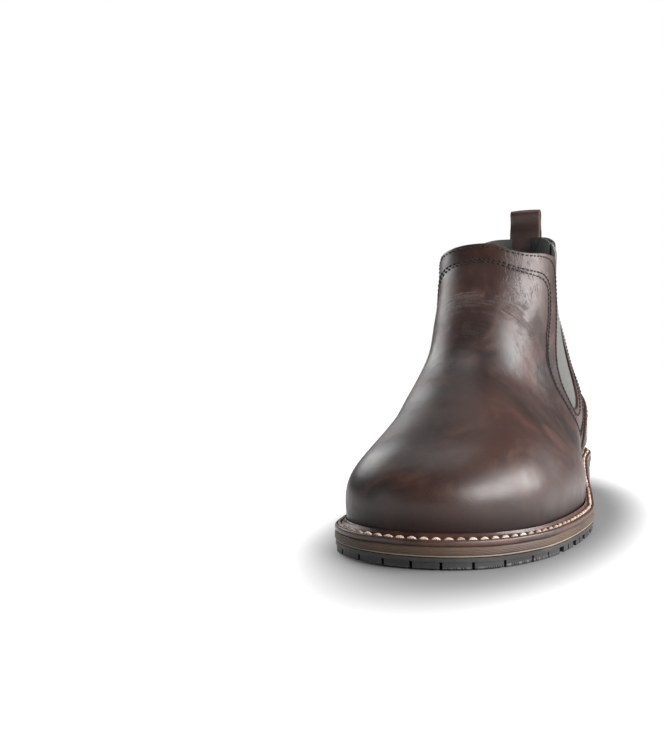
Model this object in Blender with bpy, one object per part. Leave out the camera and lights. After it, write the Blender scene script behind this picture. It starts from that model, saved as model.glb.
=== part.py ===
"""Chelsea boot for the left foot: leather upper with elastic gores on a welted, lugged rubber sole.

Frame: +Z up, the toe points to -Y, the lateral (outer) side is +X. The origin is on the ground under the
centre of the bounding box. The script's own unit is the millimetre; MM turns it into Blender's metres.
"""

import math

import bmesh
import bpy
import numpy as np
from mathutils import Matrix, Vector

MM = 0.001

# Driving dimensions, in millimetres
LENGTH = 304.0  # outsole, toe to heel
WIDTH = 118.0  # outsole at the ball
FOREFOOT_SOLE = 5.4  # black rubber under the ball, lugs included
HEEL_SOLE = 22.0  # black rubber under the heel, lugs included
TOE_SPRING_TREAD = 1.0  # how far the tread lifts at the toe
TOE_SPRING_SOLE = 0.8  # how far the layers above it lift
LUG_DEPTH = 3.2
RUBBER_BASE = 2.2  # rubber sheet that carries the lugs
MIDSOLE = 4.7
WELT = 3.0
GAP = 0.3  # clearance between neighbouring solids
SHEET = 1.0  # lining and reinforcement thickness
LEATHER = 1.8
HEEL_BREAST = 60.0  # y where the heel block begins

# Offsets of the upper's layers from the last, in millimetres
LINING = (0.0, SHEET)
STIFFENER = (SHEET + GAP, 2 * SHEET + GAP)
UPPER = (2 * (SHEET + GAP), 2 * (SHEET + GAP) + LEATHER)
COVER = (UPPER[1] + GAP, UPPER[1] + GAP + 1.6)
STRAP = (UPPER[1] + GAP, UPPER[1] + GAP + 1.2)
TAB_OUTSIDE = (STRAP[1] + GAP, STRAP[1] + GAP + 1.5)
TAB_INSIDE = (-GAP - 1.5, -GAP)

# Plan of the outsole: closed curve through (x, y), from the toe along the inner side, round the heel and back
OUTLINE_POINTS = [
    (-21, -152), (-43, -146), (-59, -130), (-65, -105), (-64.5, -80), (-58, -53), (-48, -25), (-39.5, 5),
    (-35, 35), (-34, 65), (-36, 93), (-36, 115), (-31, 135), (-18, 147.5), (0, 152), (18, 148),
    (32, 134), (38, 112), (39.5, 90), (41.5, 60), (45.5, 30), (51.5, 0), (55, -30), (53.5, -57),
    (49, -84), (41, -110), (24.5, -135), (3, -148.5),
]

# Side view of the upper: (height, y) or (y, height) tables of the outer leather surface
FRONT_OF_LEG = [(40, 40), (60, 32), (90, 14), (118, 3), (140, 6), (160, 13.5), (180, 19), (200, 22)]
BACK_OF_LEG = [(10, 142), (30, 145.5), (50, 147), (75, 145), (105, 141), (135, 139), (178, 142), (200, 143)]
LEG_HALF_WIDTH = [(30, 33), (60, 36.5), (90, 37), (120, 38), (150, 37.5), (200, 39)]
LEG_CENTRE = [(30, 6), (60, 2.5), (100, -8), (140, -11), (170, -11.5), (200, -12)]  # the leg leans inwards
LEG_BOXINESS = [(30, 2.4), (70, 2.6), (110, 3.0), (160, 3.2), (200, 3.2)]
RIDGE = [(-150, 45), (-125, 52), (-105, 58), (-80, 68), (-55, 80), (-30, 93), (-5, 105.5), (20, 107), (50, 100),
         (80, 88), (110, 76), (150, 60)]
INSTEP_LEAN = [(-150, 0), (-110, 2), (-70, 12), (-35, 24), (5, 27.5), (45, 23), (90, 8), (150, 0)]  # ridge, inwards
TOPLINE = [(-10, 171), (12, 170), (18, 167.5), (26, 164.5), (36, 162.5), (48, 161.7), (60, 162), (80, 166),
           (96, 172), (110, 179), (128, 186), (150, 188)]
GORE_FRONT = [(60, 190), (58, 160), (56.5, 140), (54, 120), (51.5, 100), (50.5, 84), (53, 72), (60, 63.5), (69, 60)]
GORE_REAR = [(72, 60), (80, 67), (87, 78), (93, 92), (99, 110), (104, 130), (107, 150), (109, 190)]
GORE_LAP = 7.0  # how far the elastic runs under the leather
GORE_LEAD = 13.0  # how much further forward the inner side's gore stands at its top
COVER_EDGE = [(78, 20), (84, 34), (95, 48), (110, 59), (126, 65), (156, 67)]

COLOURS = {
    "brown_leather": (0.062, 0.026, 0.020, 0.45, 0.0),
    "welt_leather": (0.070, 0.035, 0.026, 0.5, 0.0),
    "tan_rubber": (0.165, 0.105, 0.065, 0.6, 0.0),
    "black_rubber": (0.018, 0.018, 0.019, 0.7, 0.0),
    "elastic": (0.085, 0.095, 0.078, 0.85, 0.0),
    "lining": (0.022, 0.030, 0.024, 0.95, 0.0),
    "board": (0.42, 0.32, 0.20, 0.9, 0.0),
    "cork": (0.38, 0.22, 0.11, 0.9, 0.0),
    "steel": (0.55, 0.56, 0.58, 0.35, 1.0),
    "cream_thread": (0.62, 0.50, 0.36, 0.8, 0.0),
    "footbed_cloth": (0.05, 0.05, 0.045, 0.95, 0.0),
    "moulded_fibre": (0.30, 0.24, 0.18, 0.85, 0.0),
}


def smooth_table(points):
    """A smooth curve through (x, value) pairs: cubic Hermite pieces with averaged slopes."""
    xs, vs = np.array(sorted(points), float).T
    slopes = np.gradient(vs, xs)

    def value(x):
        x = np.clip(np.asarray(x, float), xs[0], xs[-1])
        i = np.clip(np.searchsorted(xs, x) - 1, 0, len(xs) - 2)
        step = xs[i + 1] - xs[i]
        t = (x - xs[i]) / step
        rise = t * t * (3 - 2 * t)
        bend = t * (1 - t) ** 2 * slopes[i] - t * t * (1 - t) * slopes[i + 1]
        return vs[i] + rise * (vs[i + 1] - vs[i]) + bend * step

    return value


def smooth_loop(points, count):
    """count points at equal arc lengths on a closed Catmull-Rom curve through the given points."""
    p = np.array(points, float)
    before, after, far = np.roll(p, 1, 0), np.roll(p, -1, 0), np.roll(p, -2, 0)
    fine = []
    for t in np.linspace(0, 1, 24, endpoint=False):
        fine.append(0.5 * (2 * p + (after - before) * t + (2 * before - 5 * p + 4 * after - far) * t * t
                           + (3 * (p - after) + far - before) * t ** 3))
    loop = np.stack(fine, 1).reshape(-1, p.shape[1])
    ends = np.vstack([loop, loop[:1]])
    run = np.r_[0, np.cumsum(np.linalg.norm(np.diff(ends, axis=0), axis=1))]
    at = np.linspace(0, run[-1], count, endpoint=False)
    return np.stack([np.interp(at, run, ends[:, k]) for k in range(p.shape[1])], 1)


def centred_outline(count=720):
    """The outsole's plan at its real size, centred on the origin."""
    loop = smooth_loop(OUTLINE_POINTS, count)
    low, high = loop.min(0), loop.max(0)
    return (loop - (low + high) / 2) * np.array([WIDTH, LENGTH]) / (high - low)


OUTLINE = centred_outline()
TOE_Y, HEEL_Y = -LENGTH / 2, LENGTH / 2


def inset_outline(distance):
    """The outline moved inwards; distance is a number or one value for each of its points."""
    along = np.roll(OUTLINE, -4, 0) - np.roll(OUTLINE, 4, 0)
    along /= np.linalg.norm(along, axis=1)[:, None]
    inwards = np.stack([along[:, 1], -along[:, 0]], 1)
    if (inwards * OUTLINE).sum() > 0:
        inwards = -inwards
    return OUTLINE + inwards * np.reshape(distance, (-1, 1))


def plan_sides(loop):
    """Two functions of y: x of the inner (medial) side and x of the outer (lateral) side of a closed plan."""
    toe, heel = int(loop[:, 1].argmin()), int(loop[:, 1].argmax())
    turned = np.roll(loop, -toe, 0)
    split = (heel - toe) % len(loop)
    one, other = turned[: split + 1], np.vstack([turned[split:], turned[:1]])[::-1]
    medial, lateral = (one, other) if one[:, 0].mean() < other[:, 0].mean() else (other, one)
    return tuple(lambda y, side=s: np.interp(y, side[:, 1], side[:, 0]) for s in (medial, lateral))


def ease(low, high, y):
    t = np.clip((np.asarray(y, float) - low) / (high - low), 0, 1)
    return t * t * (3 - 2 * t)


def toe_lift(y, amount):
    return amount * np.clip((-74 - np.asarray(y, float)) / (LENGTH / 2 - 74), 0, 1) ** 2


def rubber_top(y):
    """Height of the top of the black rubber."""
    return FOREFOOT_SOLE + (HEEL_SOLE - FOREFOOT_SOLE) * ease(-18, 62, y) + toe_lift(y, TOE_SPRING_SOLE)


def tread_bottom(y):
    return toe_lift(y, TOE_SPRING_TREAD)


def midsole_top(y):
    return rubber_top(y) + MIDSOLE


def feather(y):
    """Height of the feather line, where the upper meets the welt."""
    return midsole_top(y) + WELT


def welt_width(y):
    """How far the sole stands out past the fullest part of the upper."""
    return 4.5 + 2.3 * (1 - ease(-150, -112, y)) + 1.1 * ease(40, 90, y)


# The last: the shape inside the boot. Its plan is the outline inset by the welt and the leather.
LAST_PLAN = inset_outline(welt_width(OUTLINE[:, 1]) + UPPER[1])
LAST_MEDIAL, LAST_LATERAL = plan_sides(LAST_PLAN)
LAST_TOE, LAST_HEEL = LAST_PLAN[:, 1].min(), LAST_PLAN[:, 1].max()
ridge, front_of_leg, back_of_leg = smooth_table(RIDGE), smooth_table(FRONT_OF_LEG), smooth_table(BACK_OF_LEG)
leg_half_width, leg_centre, leg_boxiness = map(smooth_table, (LEG_HALF_WIDTH, LEG_CENTRE, LEG_BOXINESS))
topline, instep_lean = smooth_table(TOPLINE), smooth_table(INSTEP_LEAN)
TOE_ROUNDING = 36.0  # length over which the toe box rounds down to the tip


def foot_field(x, y, z):
    """Below zero inside the foot part: a superellipse arch over the plan, rounded down at the toe."""
    half = np.maximum((LAST_LATERAL(y) - LAST_MEDIAL(y)) / 2, 0.4)
    centre = (LAST_LATERAL(y) + LAST_MEDIAL(y)) / 2
    widest = feather(y) + 12
    back = np.clip((LAST_TOE + TOE_ROUNDING - y) / TOE_ROUNDING, 0, 0.9999)
    rise = (ridge(y) - UPPER[1] - widest) * (1 - back ** 2.5) ** (1 / 2.5)
    drop = 42.0 * (1 - back ** 2.5) ** (1 / 2.5)
    boxy = 2.5 - 0.6 * ease(-110, -30, y)
    across = np.abs(x - centre + instep_lean(y) * ease(0, 60, z - widest)) / half
    up = np.where(z > widest, (z - widest) / np.maximum(rise, 0.4), (widest - z) / np.maximum(drop, 0.4))
    outside = np.maximum(LAST_TOE - y, y - LAST_HEEL)
    value = ((across ** boxy + up ** 2.1) ** (1 / 2.3) - 1) * 45
    return np.where(outside > 0, 45 + outside, value)


def leg_field(x, y, z):
    """Below zero inside the leg part: oval rings from the heel up to the mouth."""
    front, back = front_of_leg(z) + UPPER[1], back_of_leg(z) - UPPER[1]
    half = leg_half_width(z) - UPPER[1]
    widest = front + (back - front) * (0.5 - 0.12 * ease(90, 150, z))
    behind = y > widest
    along = np.abs(y - widest) / np.where(behind, back - widest, widest - front)
    across = np.abs(x - leg_centre(z)) / half
    rear_power = np.minimum(leg_boxiness(z), 2.6 - 0.75 * ease(70, 140, z))
    outer_round = 0.7 * ease(60, 115, z) * (x > leg_centre(z))
    power = np.where(behind, rear_power, leg_boxiness(z) - 0.35 * ease(90, 150, z) - outer_round)
    value = ((along ** power + across ** power) ** (1 / power) - 1) * 34
    return value + np.maximum(36 - z, 0) * 2


def last_field(points):
    x, y, z = points.T
    a, b = foot_field(x, y, z), leg_field(x, y, z)
    blend = 3 + 33 * (1 - ease(10, 75, y))  # size of the soft transition between foot and leg
    h = np.maximum(blend - np.abs(a - b), 0) / blend
    return np.minimum(a, b) - h * h * blend / 4


def on_last(origins, directions):
    """Where rays from inside the last leave it."""
    near, far = np.zeros(len(origins)), np.full(len(origins), 190.0)
    for _ in range(34):
        middle = (near + far) / 2
        inside = last_field(origins + directions * middle[:, None]) < 0
        near, far = np.where(inside, middle, near), np.where(inside, far, middle)
    return origins + directions * near[:, None]


PIVOT = np.array([0.0, -20.0, 152.0])  # the section planes fan about this line, in front of the instep
SPINE = 105.0  # distance of the spine from the pivot
TOE_CENTRE = np.array([-9.0, -102.0, 38.0])
CAP_SPREAD = 0.8


def spine_stations(foot, fan, leg):
    """Origin and the two in-plane directions of each section from behind the toe to above the mouth."""
    stations = []
    for t in np.linspace(0, 1, foot, endpoint=False):
        origin = TOE_CENTRE * (1 - t) + np.array([0, PIVOT[1], PIVOT[2] - SPINE]) * t
        stations.append((origin, np.array([0.0, 0.0, 1.0])))
    for angle in np.interp(np.linspace(0, 1, fan), (0, 0.22, 0.82, 1), np.radians((0, 34, 72, 90))):
        radial = np.array([0.0, math.sin(angle), -math.cos(angle)])
        stations.append((PIVOT + SPINE * radial + np.array([5 - 10 * angle / 1.57, 0, 0]), -radial))
    for t in np.linspace(0, 1, leg + 1)[1:]:
        stations.append((PIVOT + np.array([-5 - 6 * t, SPINE, 44.0 * t]), np.array([0.0, -1.0, 0.0])))
    return stations


def last_surface(side, toe, foot, fan, leg):
    """Points and quads on the last: a side x side cap on the toe and rings of 4 x side points behind it."""
    edge = np.linspace(-1, 1, side + 1)
    square = [(a, 1.0) for a in edge[:-1]] + [(1.0, -a) for a in edge[:-1]]
    square += [(-a, -1.0) for a in edge[:-1]] + [(-1.0, a) for a in edge[:-1]]
    origins, directions, faces = [], [], []

    def add(origin, direction):
        origins.append(origin)
        directions.append(direction / np.linalg.norm(direction))
        return len(origins) - 1

    cap = {}
    for i, a in enumerate(edge):
        for j, b in enumerate(edge):
            spread = math.tan(math.radians(42)) * CAP_SPREAD
            cap[i, j] = add(TOE_CENTRE, np.array([math.tan(a * 0.72) * spread, -1.0, math.tan(b * 0.72) * spread]))
    for i in range(side):
        for j in range(side):
            faces.append((cap[i, j], cap[i + 1, j], cap[i + 1, j + 1], cap[i, j + 1]))
    index = {round(v, 6): k for k, v in enumerate(edge)}
    rings = [[cap[index[round(a, 6)], index[round(b, 6)]] for a, b in square]]
    first = [directions[k] for k in rings[0]]
    flat = []
    for d in first:
        level = np.array([d[0], 0.0, d[2]])
        flat.append(level / np.linalg.norm(level))
    for t in np.linspace(0, 1, toe + 1)[1:-1]:
        rings.append([add(TOE_CENTRE, d * (1 - t) + f * t) for d, f in zip(first, flat)])
    for origin, up in spine_stations(foot, fan, leg):
        rings.append([add(origin, np.array([f[0], 0.0, 0.0]) + up * f[2]) for f in flat])
    for ring, following in zip(rings, rings[1:]):
        count = len(ring)
        for k in range(count):
            n = (k + 1) % count
            faces.append((ring[k], ring[n], following[n], following[k]))
    return on_last(np.array(origins), np.array(directions)), faces


def collection(name):
    made = bpy.data.collections.new(name)
    bpy.context.scene.collection.children.link(made)
    return made


def material(name):
    found = bpy.data.materials.get(name)
    if found:
        return found
    red, green, blue, roughness, metallic = COLOURS[name]
    made = bpy.data.materials.new(name)
    made.use_nodes = True
    shader = made.node_tree.nodes["Principled BSDF"]
    shader.inputs["Base Color"].default_value = (red, green, blue, 1)
    shader.inputs["Roughness"].default_value = roughness
    shader.inputs["Metallic"].default_value = metallic
    return made


def mesh_object(name, points, faces, where, finish=None):
    """An object from millimetre points, with its normals made to point outwards."""
    mesh = bpy.data.meshes.new(name)
    mesh.from_pydata([Vector(p) * MM for p in points], [], faces)
    shape = bmesh.new()
    shape.from_mesh(mesh)
    bmesh.ops.recalc_face_normals(shape, faces=shape.faces)
    shape.to_mesh(mesh)
    shape.free()
    made = bpy.data.objects.new(name, mesh)
    where.objects.link(made)
    if finish:
        mesh.materials.append(material(finish))
        mesh.shade_smooth()
        mesh.set_sharp_from_angle(angle=math.radians(35))
    else:
        made.hide_render = True
        made.display_type = "WIRE"
    return made


def curve_to_mesh(curve_object, where, finish=None):
    """Replaces a curve object by a welded mesh object of the same name."""
    graph = bpy.context.evaluated_depsgraph_get()
    mesh = bpy.data.meshes.new_from_object(curve_object.evaluated_get(graph))
    name, matrix = curve_object.name, curve_object.matrix_world.copy()
    bpy.data.objects.remove(curve_object)
    shape = bmesh.new()
    shape.from_mesh(mesh)
    bmesh.ops.remove_doubles(shape, verts=shape.verts, dist=0.00001)
    bmesh.ops.recalc_face_normals(shape, faces=shape.faces)
    shape.to_mesh(mesh)
    shape.free()
    made = bpy.data.objects.new(name, mesh)
    made.matrix_world = matrix
    where.objects.link(made)
    if finish:
        mesh.materials.clear()
        mesh.materials.append(material(finish))
    else:
        made.hide_render = True
        made.display_type = "WIRE"
    return made


SIDE_VIEW = Matrix(((0, 0, 1, 0), (1, 0, 0, 0), (0, 1, 0, 0), (0, 0, 0, 1)))  # plan (u, v) becomes (y, z)


def side_prism(name, outline, low_x, high_x, where, finish=None):
    """A solid with a side-view (y, z) outline between two values of x."""
    curve = bpy.data.curves.new(name, "CURVE")
    curve.dimensions = "2D"
    curve.fill_mode = "BOTH"
    curve.extrude = (high_x - low_x) / 2 * MM
    spline = curve.splines.new("POLY")
    spline.points.add(len(outline) - 1)
    for point, (u, v) in zip(spline.points, outline):
        point.co = (u * MM, v * MM, 0, 1)
    spline.use_cyclic_u = True
    made = bpy.data.objects.new(name, curve)
    made.matrix_world = Matrix.Translation(((low_x + high_x) / 2 * MM, 0, 0)) @ SIDE_VIEW
    where.objects.link(made)
    bpy.context.view_layer.update()
    return curve_to_mesh(made, where, finish)


def boolean(obj, cutter, operation, crossing=False):
    modifier = obj.modifiers.new(cutter.name, "BOOLEAN")
    modifier.operation = operation
    modifier.object = cutter
    modifier.solver = "EXACT"
    modifier.use_self = crossing


def apply_modifiers(obj):
    graph = bpy.context.evaluated_depsgraph_get()
    mesh = bpy.data.meshes.new_from_object(obj.evaluated_get(graph))
    obj.modifiers.clear()
    obj.data = mesh


class Boot:
    """The two collections, and the last's surface with its normals."""

    def __init__(self):
        self.parts = collection("chelsea_boot")
        self.cutters = collection("cutters")
        points, quads = last_surface(6, 3, 6, 14, 4)
        faces = [half for a, b, c, d in quads for half in ((a, b, c), (a, c, d))]
        normals = np.zeros_like(points)
        for a, b, c in faces:
            area = np.cross(points[b] - points[a], points[c] - points[a])
            normals[[a, b, c]] += area
        if ((points - points.mean(0)) * normals).sum() < 0:
            normals = -normals
            faces = [face[::-1] for face in faces]
        self.surface = points, faces
        self.normals = normals / np.linalg.norm(normals, axis=1)[:, None]

    def shell(self, layer):
        """Points and faces of the closed sheet between two offsets of the last."""
        points, faces = self.surface
        rim = [pair for pair, uses in self.edge_uses(faces).items() if uses == 1]
        count = len(points)
        both = np.vstack([points + self.normals * layer[0], points + self.normals * layer[1]])
        made = [face[::-1] for face in faces] + [tuple(count + k for k in face) for face in faces]
        made += [(a, b, count + b, count + a) for a, b in rim]
        return both, made

    @staticmethod
    def edge_uses(faces):
        uses = {}
        for face in faces:
            for a, b in zip(face, face[1:] + face[:1]):
                if (b, a) in uses:
                    uses[b, a] += 1
                else:
                    uses[a, b] = 1
        return uses

    def panel(self, name, layer, outline, finish, low_x=-90, high_x=90, sides=None, cut=None):
        """A sheet between two offsets of the last, trimmed to a side-view outline.

        sides are two distances from the leg's centre line, seen from behind, that trim it as well, and cut is
        a second outline with its own range of x, which is taken away."""
        made = mesh_object(name, *self.shell(layer), self.parts, finish)
        boolean(made, side_prism(name + "_outline", outline, low_x, high_x, self.cutters), "INTERSECT")
        if cut:
            boolean(made, side_prism(name + "_window", *cut, self.cutters), "DIFFERENCE")
        if sides:
            boolean(made, self.leg_slab(name + "_sides", *sides), "INTERSECT")
        return made

    def leg_slab(self, name, low, high):
        """A block that follows the leg's lean, from one distance beside its centre line to another."""
        heights = np.linspace(40, 210, 18)
        polygon = [(float(leg_centre(z)) + low, z) for z in heights]
        polygon += [(float(leg_centre(z)) + high, z) for z in heights[::-1]]
        points, faces = plan_prism_data(polygon, -170, 170)
        return mesh_object(name, [(x, y, z) for x, z, y in points], faces, self.cutters)


def run(table, count=14, start=None, end=None):
    """Points (y, z) along a smooth line given as (y, z) pairs, evenly spaced by the list's own order."""
    p = np.array(table, float)
    along = np.r_[0, np.cumsum(np.linalg.norm(np.diff(p, axis=0), axis=1))]
    curves = [smooth_table(list(zip(along, p[:, k]))) for k in range(2)]
    at = np.linspace(start or 0, end or along[-1], count)
    return [(float(curves[0](t)), float(curves[1](t))) for t in at]


def shifted(line, distance):
    """A (y, z) line moved sideways, to the left of its direction for positive distances."""
    p = np.array(line)
    along = np.gradient(p, axis=0)
    along /= np.linalg.norm(along, axis=1)[:, None]
    return [tuple(q) for q in p + np.stack([-along[:, 1], along[:, 0]], 1) * distance]


def led(line):
    """A gore edge moved forward to where it runs on the boot's inner side."""
    return [(y - GORE_LEAD * float(ease(62, 140, z)), z) for y, z in line]


def window(line, beyond):
    """The strip that the inner side's gore edge and the outer side's leave between them.

    beyond carries its far edge into the open gore, so that nothing thin is left."""
    near = [(y, z) for y, z in line if z > 66]
    first, second = (led(near), near) if beyond > 0 else (near, led(near))
    return first + [(y + beyond, z) for y, z in second[::-1]]


def topline_run(low_y, high_y, drop=0.0, count=9):
    return [(y, float(topline(y)) - drop) for y in np.linspace(low_y, high_y, count)]


def feather_run(low_y, high_y, lift, count=28):
    return [(y, float(feather(y)) + lift) for y in np.linspace(low_y, high_y, count)]


def below_topline(line, clear=0.0):
    return [(y, z) for y, z in line if z < float(topline(y)) - clear]


GORE_FRONT_LINE = run(GORE_FRONT, 20)
GORE_REAR_LINE = run(GORE_REAR, 16)
SEAM_Y = 97.0  # where vamp and heel quarter meet, under the heel counter cover


def front_outline(lift, inset, drop):
    """Side-view outline of everything in front of and below the gore."""
    front = below_topline(shifted(GORE_FRONT_LINE, -inset), drop)
    tip = fold_line(72.0, SEAM_Y - inset, -inset) + [(SEAM_Y - inset, float(feather(SEAM_Y)) + lift)]
    bottom = feather_run(SEAM_Y - 6, -150, lift)
    start_y = front[0][0]
    top = topline_run(-30, start_y, drop)
    return top + front + tip + bottom + [(-165, 20 + lift), (-165, 120)]


def sole_layer(name, inset, low, high, where, finish=None, start=None, end=None, stations=64):
    """A sheet with the sole's plan, between two heights that follow its length."""
    medial, lateral = plan_sides(inset_outline(inset))
    loop = inset_outline(inset)
    first = loop[:, 1].min() + 0.25 if start is None else start
    last = loop[:, 1].max() - 0.25 if end is None else end
    t = np.linspace(0, math.pi, stations)
    ys = first + (last - first) * (1 - np.cos(t)) / 2
    points, faces = [], []
    for y in ys:
        m, l = float(medial(y)), float(lateral(y))
        points += [(m, y, low(y)), (l, y, low(y)), (l, y, high(y)), (m, y, high(y))]
    for i in range(stations - 1):
        for k in range(4):
            n = (k + 1) % 4
            faces.append((4 * i + k, 4 * i + n, 4 * i + 4 + n, 4 * i + 4 + k))
    faces += [(3, 2, 1, 0), tuple(4 * (stations - 1) + k for k in range(4))]
    return mesh_object(name, points, faces, where, finish)


def plan_prism_data(polygon, low, high):
    """Points and faces of a vertical prism over a plan polygon."""
    count = len(polygon)
    points = [(x, y, low) for x, y in polygon] + [(x, y, high) for x, y in polygon]
    faces = [tuple(range(count))[::-1], tuple(range(count, 2 * count))]
    faces += [(k, (k + 1) % count, count + (k + 1) % count, count + k) for k in range(count)]
    return points, faces


# One edge block of the tread, in its own frame: a along the sole's edge towards the heel, b inwards.
# A thin sipe splits its outer part, and its inner end is a six-sided head.
EDGE_BLOCK = [(-6.6, -4), (-0.5, -4), (-0.5, 9), (0.5, 9), (0.5, -4), (6.6, -4), (6.6, 11), (4.4, 14.5),
              (7.4, 18), (5.2, 23.5), (-1.4, 24.5), (-5.0, 20.5), (-3.8, 15.5), (-6.6, 12)]
BLOCK_SLANT = 0.42
FOREFOOT_BLOCKS = {"medial": [-88, -70.5, -53, -35.5, -18], "lateral": [-84, -66.5, -49, -31.5, -14]}
HEEL_BLOCKS = [78, 95.5, 113]
# Centre bars: (y of the point, half width, sweep of the arms, thickness), the point towards the toe
FOREFOOT_BARS = [(-88, 9, 5, 6.5), (-75, 15, 8, 7.5), (-61, 20, 9, 8), (-46.5, 22, 10, 8), (-32, 21, 10, 8),
                 (-17.5, 17, 9, 7.5), (-4, 10, 6, 6.5)]
HEEL_BARS = [(72, 11, 5, 6.5), (85.5, 12, 6, 7), (99.5, 12, 6, 7), (113.5, 9, 5, 6.5)]
TOE_HUB = (-12.0, -103.0)
HEEL_HUB = (2.0, 122.0)


def edge_block(y, side):
    """An edge block's plan polygon at a place on the sole's edge, turned to follow the edge."""
    medial, lateral = plan_sides(OUTLINE)
    edge = medial if side == "medial" else lateral
    step = 3.0
    along = np.array([float(edge(y + step) - edge(y - step)), 2 * step])
    along /= np.linalg.norm(along)
    inwards = np.array([along[1], -along[0]]) * (1 if side == "medial" else -1)
    origin = np.array([float(edge(y)), y])
    return [tuple(origin + along * (a + BLOCK_SLANT * max(b, 0)) * 1.0 + inwards * b) for a, b in EDGE_BLOCK]


def fan_blocks(hub, inner, angles, sipe=1.3):
    """Wedge-shaped blocks that radiate from a hub out past the sole's edge; angles are from +X, in degrees."""
    blocks = []
    for low, high in zip(angles, angles[1:]):
        a, b = math.radians(low), math.radians(high)
        polygon = []
        for angle, sign in ((a, 1), (b, -1)):
            direction = np.array([math.cos(angle), math.sin(angle)])
            side = np.array([-direction[1], direction[0]]) * sign * sipe / 2
            near, far = np.array(hub) + direction * inner + side, np.array(hub) + direction * 75 + side
            polygon += [near, far] if sign > 0 else [far, near]
        blocks.append([tuple(p) for p in polygon])
    return blocks


def hub_block(hub, radius):
    return [(hub[0] + radius * math.cos(math.radians(a)) * 1.15, hub[1] + radius * math.sin(math.radians(a)))
            for a in range(30, 390, 60)]


def bar(y, half, sweep, thick, centre_x):
    return [(centre_x, y), (centre_x + half, y + sweep), (centre_x + half - 1.5, y + sweep + thick),
            (centre_x, y + thick), (centre_x - half + 1.5, y + sweep + thick), (centre_x - half, y + sweep)]


def tread_polygons():
    """Every lug's plan polygon."""
    lugs = [edge_block(y, side) for side, places in FOREFOOT_BLOCKS.items() for y in places]
    lugs += [edge_block(y, side) for side in ("medial", "lateral") for y in HEEL_BLOCKS]
    lugs += fan_blocks(TOE_HUB, 15.5, [178, 190, 209, 227, 244, 260, 276, 292, 309, 327, 346, 358, 369])
    lugs += fan_blocks(HEEL_HUB, 12.5, [20, 49, 76, 104, 131, 160])
    lugs += [hub_block(TOE_HUB, 11.5), hub_block((HEEL_HUB[0], HEEL_HUB[1] + 1.0), 8.0)]
    for y, half, sweep, thick in FOREFOOT_BARS:
        lugs.append(bar(y, half, sweep, thick, -8 + (y + 88) * 0.09))
    for y, half, sweep, thick in HEEL_BARS:
        lugs.append(bar(y, half, sweep, thick, 2.0))
    return lugs


def outsole(boot):
    """Moulded rubber unit: thin sheet, heel block and lugs, with a window at the inner waist."""
    made = sole_layer("outsole", 0.4, lambda y: float(rubber_top(y)) - RUBBER_BASE,
                      lambda y: float(rubber_top(y)) - GAP, boot.parts, "black_rubber", stations=60)
    heel = sole_layer("heel_body", 0.9, lambda y: LUG_DEPTH, lambda y: float(rubber_top(y)) - 1.2,
                      boot.cutters, start=HEEL_BREAST, stations=40)
    boolean(made, heel, "UNION")
    points, faces = [], []
    for polygon in tread_polygons():
        more, more_faces = plan_prism_data(polygon, -3.0, HEEL_SOLE)
        faces += [tuple(len(points) + k for k in face) for face in more_faces]
        points += more
    lugs = mesh_object("lugs", points, faces, boot.cutters)
    envelope = sole_layer("tread_envelope", 0.9, lambda y: float(tread_bottom(y)), lambda y: lug_top(y),
                          boot.cutters, stations=60)
    boolean(lugs, envelope, "INTERSECT", crossing=True)
    apply_modifiers(lugs)
    boolean(made, lugs, "UNION")
    window = mesh_object("waist_window", *plan_prism_data(waist_window(), -5, 40), boot.cutters)
    boolean(made, window, "DIFFERENCE")
    apply_modifiers(made)
    return made


def lug_top(y):
    """Lugs reach a little way into the rubber that carries them."""
    carried = float(rubber_top(y)) - RUBBER_BASE + 1.0
    return LUG_DEPTH + 1.0 if y > HEEL_BREAST + 0.5 else carried


def waist_window():
    """Plan of the opening in the rubber at the inner waist, which shows the midsole."""
    return [(-70, 8), (-3, 22), (-3, 54), (-70, 54)]


def welt(boot):
    """A closed leather ring between upper and midsole, its outer top edge rounded."""
    ring = inset_outline(0)[::9]
    inner = inset_outline(welt_width(OUTLINE[:, 1]) + UPPER[1] + 4)[::9]
    inwards = inner - ring
    reach = np.linalg.norm(inwards, axis=1)
    inwards /= reach[:, None]
    points, faces = [], []
    for p, d, full in zip(ring, inwards, reach):
        base, top = float(midsole_top(p[1])) + GAP, float(feather(p[1]))
        for inset, z in ((0.3, base), (0.0, base + 0.6), (0.0, top - 1.0), (0.9, top), (full, top), (full, base)):
            q = p + d * inset
            points.append((q[0], q[1], z))
    count, sides = len(ring), 6
    for i in range(count):
        j = (i + 1) % count
        for k in range(sides):
            n = (k + 1) % sides
            faces.append((sides * i + k, sides * j + k, sides * j + n, sides * i + n))
    return mesh_object("welt", points, faces, boot.parts, "welt_leather")


def welt_thread(boot):
    """The lockstitch that runs round the welt, as one closed run of thread."""
    path = inset_outline(2.0)[::9]
    curve = bpy.data.curves.new("welt_thread", "CURVE")
    curve.dimensions = "3D"
    curve.bevel_depth = 0.6 * MM
    curve.bevel_resolution = 0
    spline = curve.splines.new("POLY")
    spline.points.add(len(path) - 1)
    for point, (x, y) in zip(spline.points, path):
        point.co = (x * MM, y * MM, (float(feather(y)) + GAP + 0.6) * MM, 1)
    spline.use_cyclic_u = True
    made = bpy.data.objects.new("welt_thread", curve)
    boot.parts.objects.link(made)
    curve.materials.append(material("cream_thread"))
    return made


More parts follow.
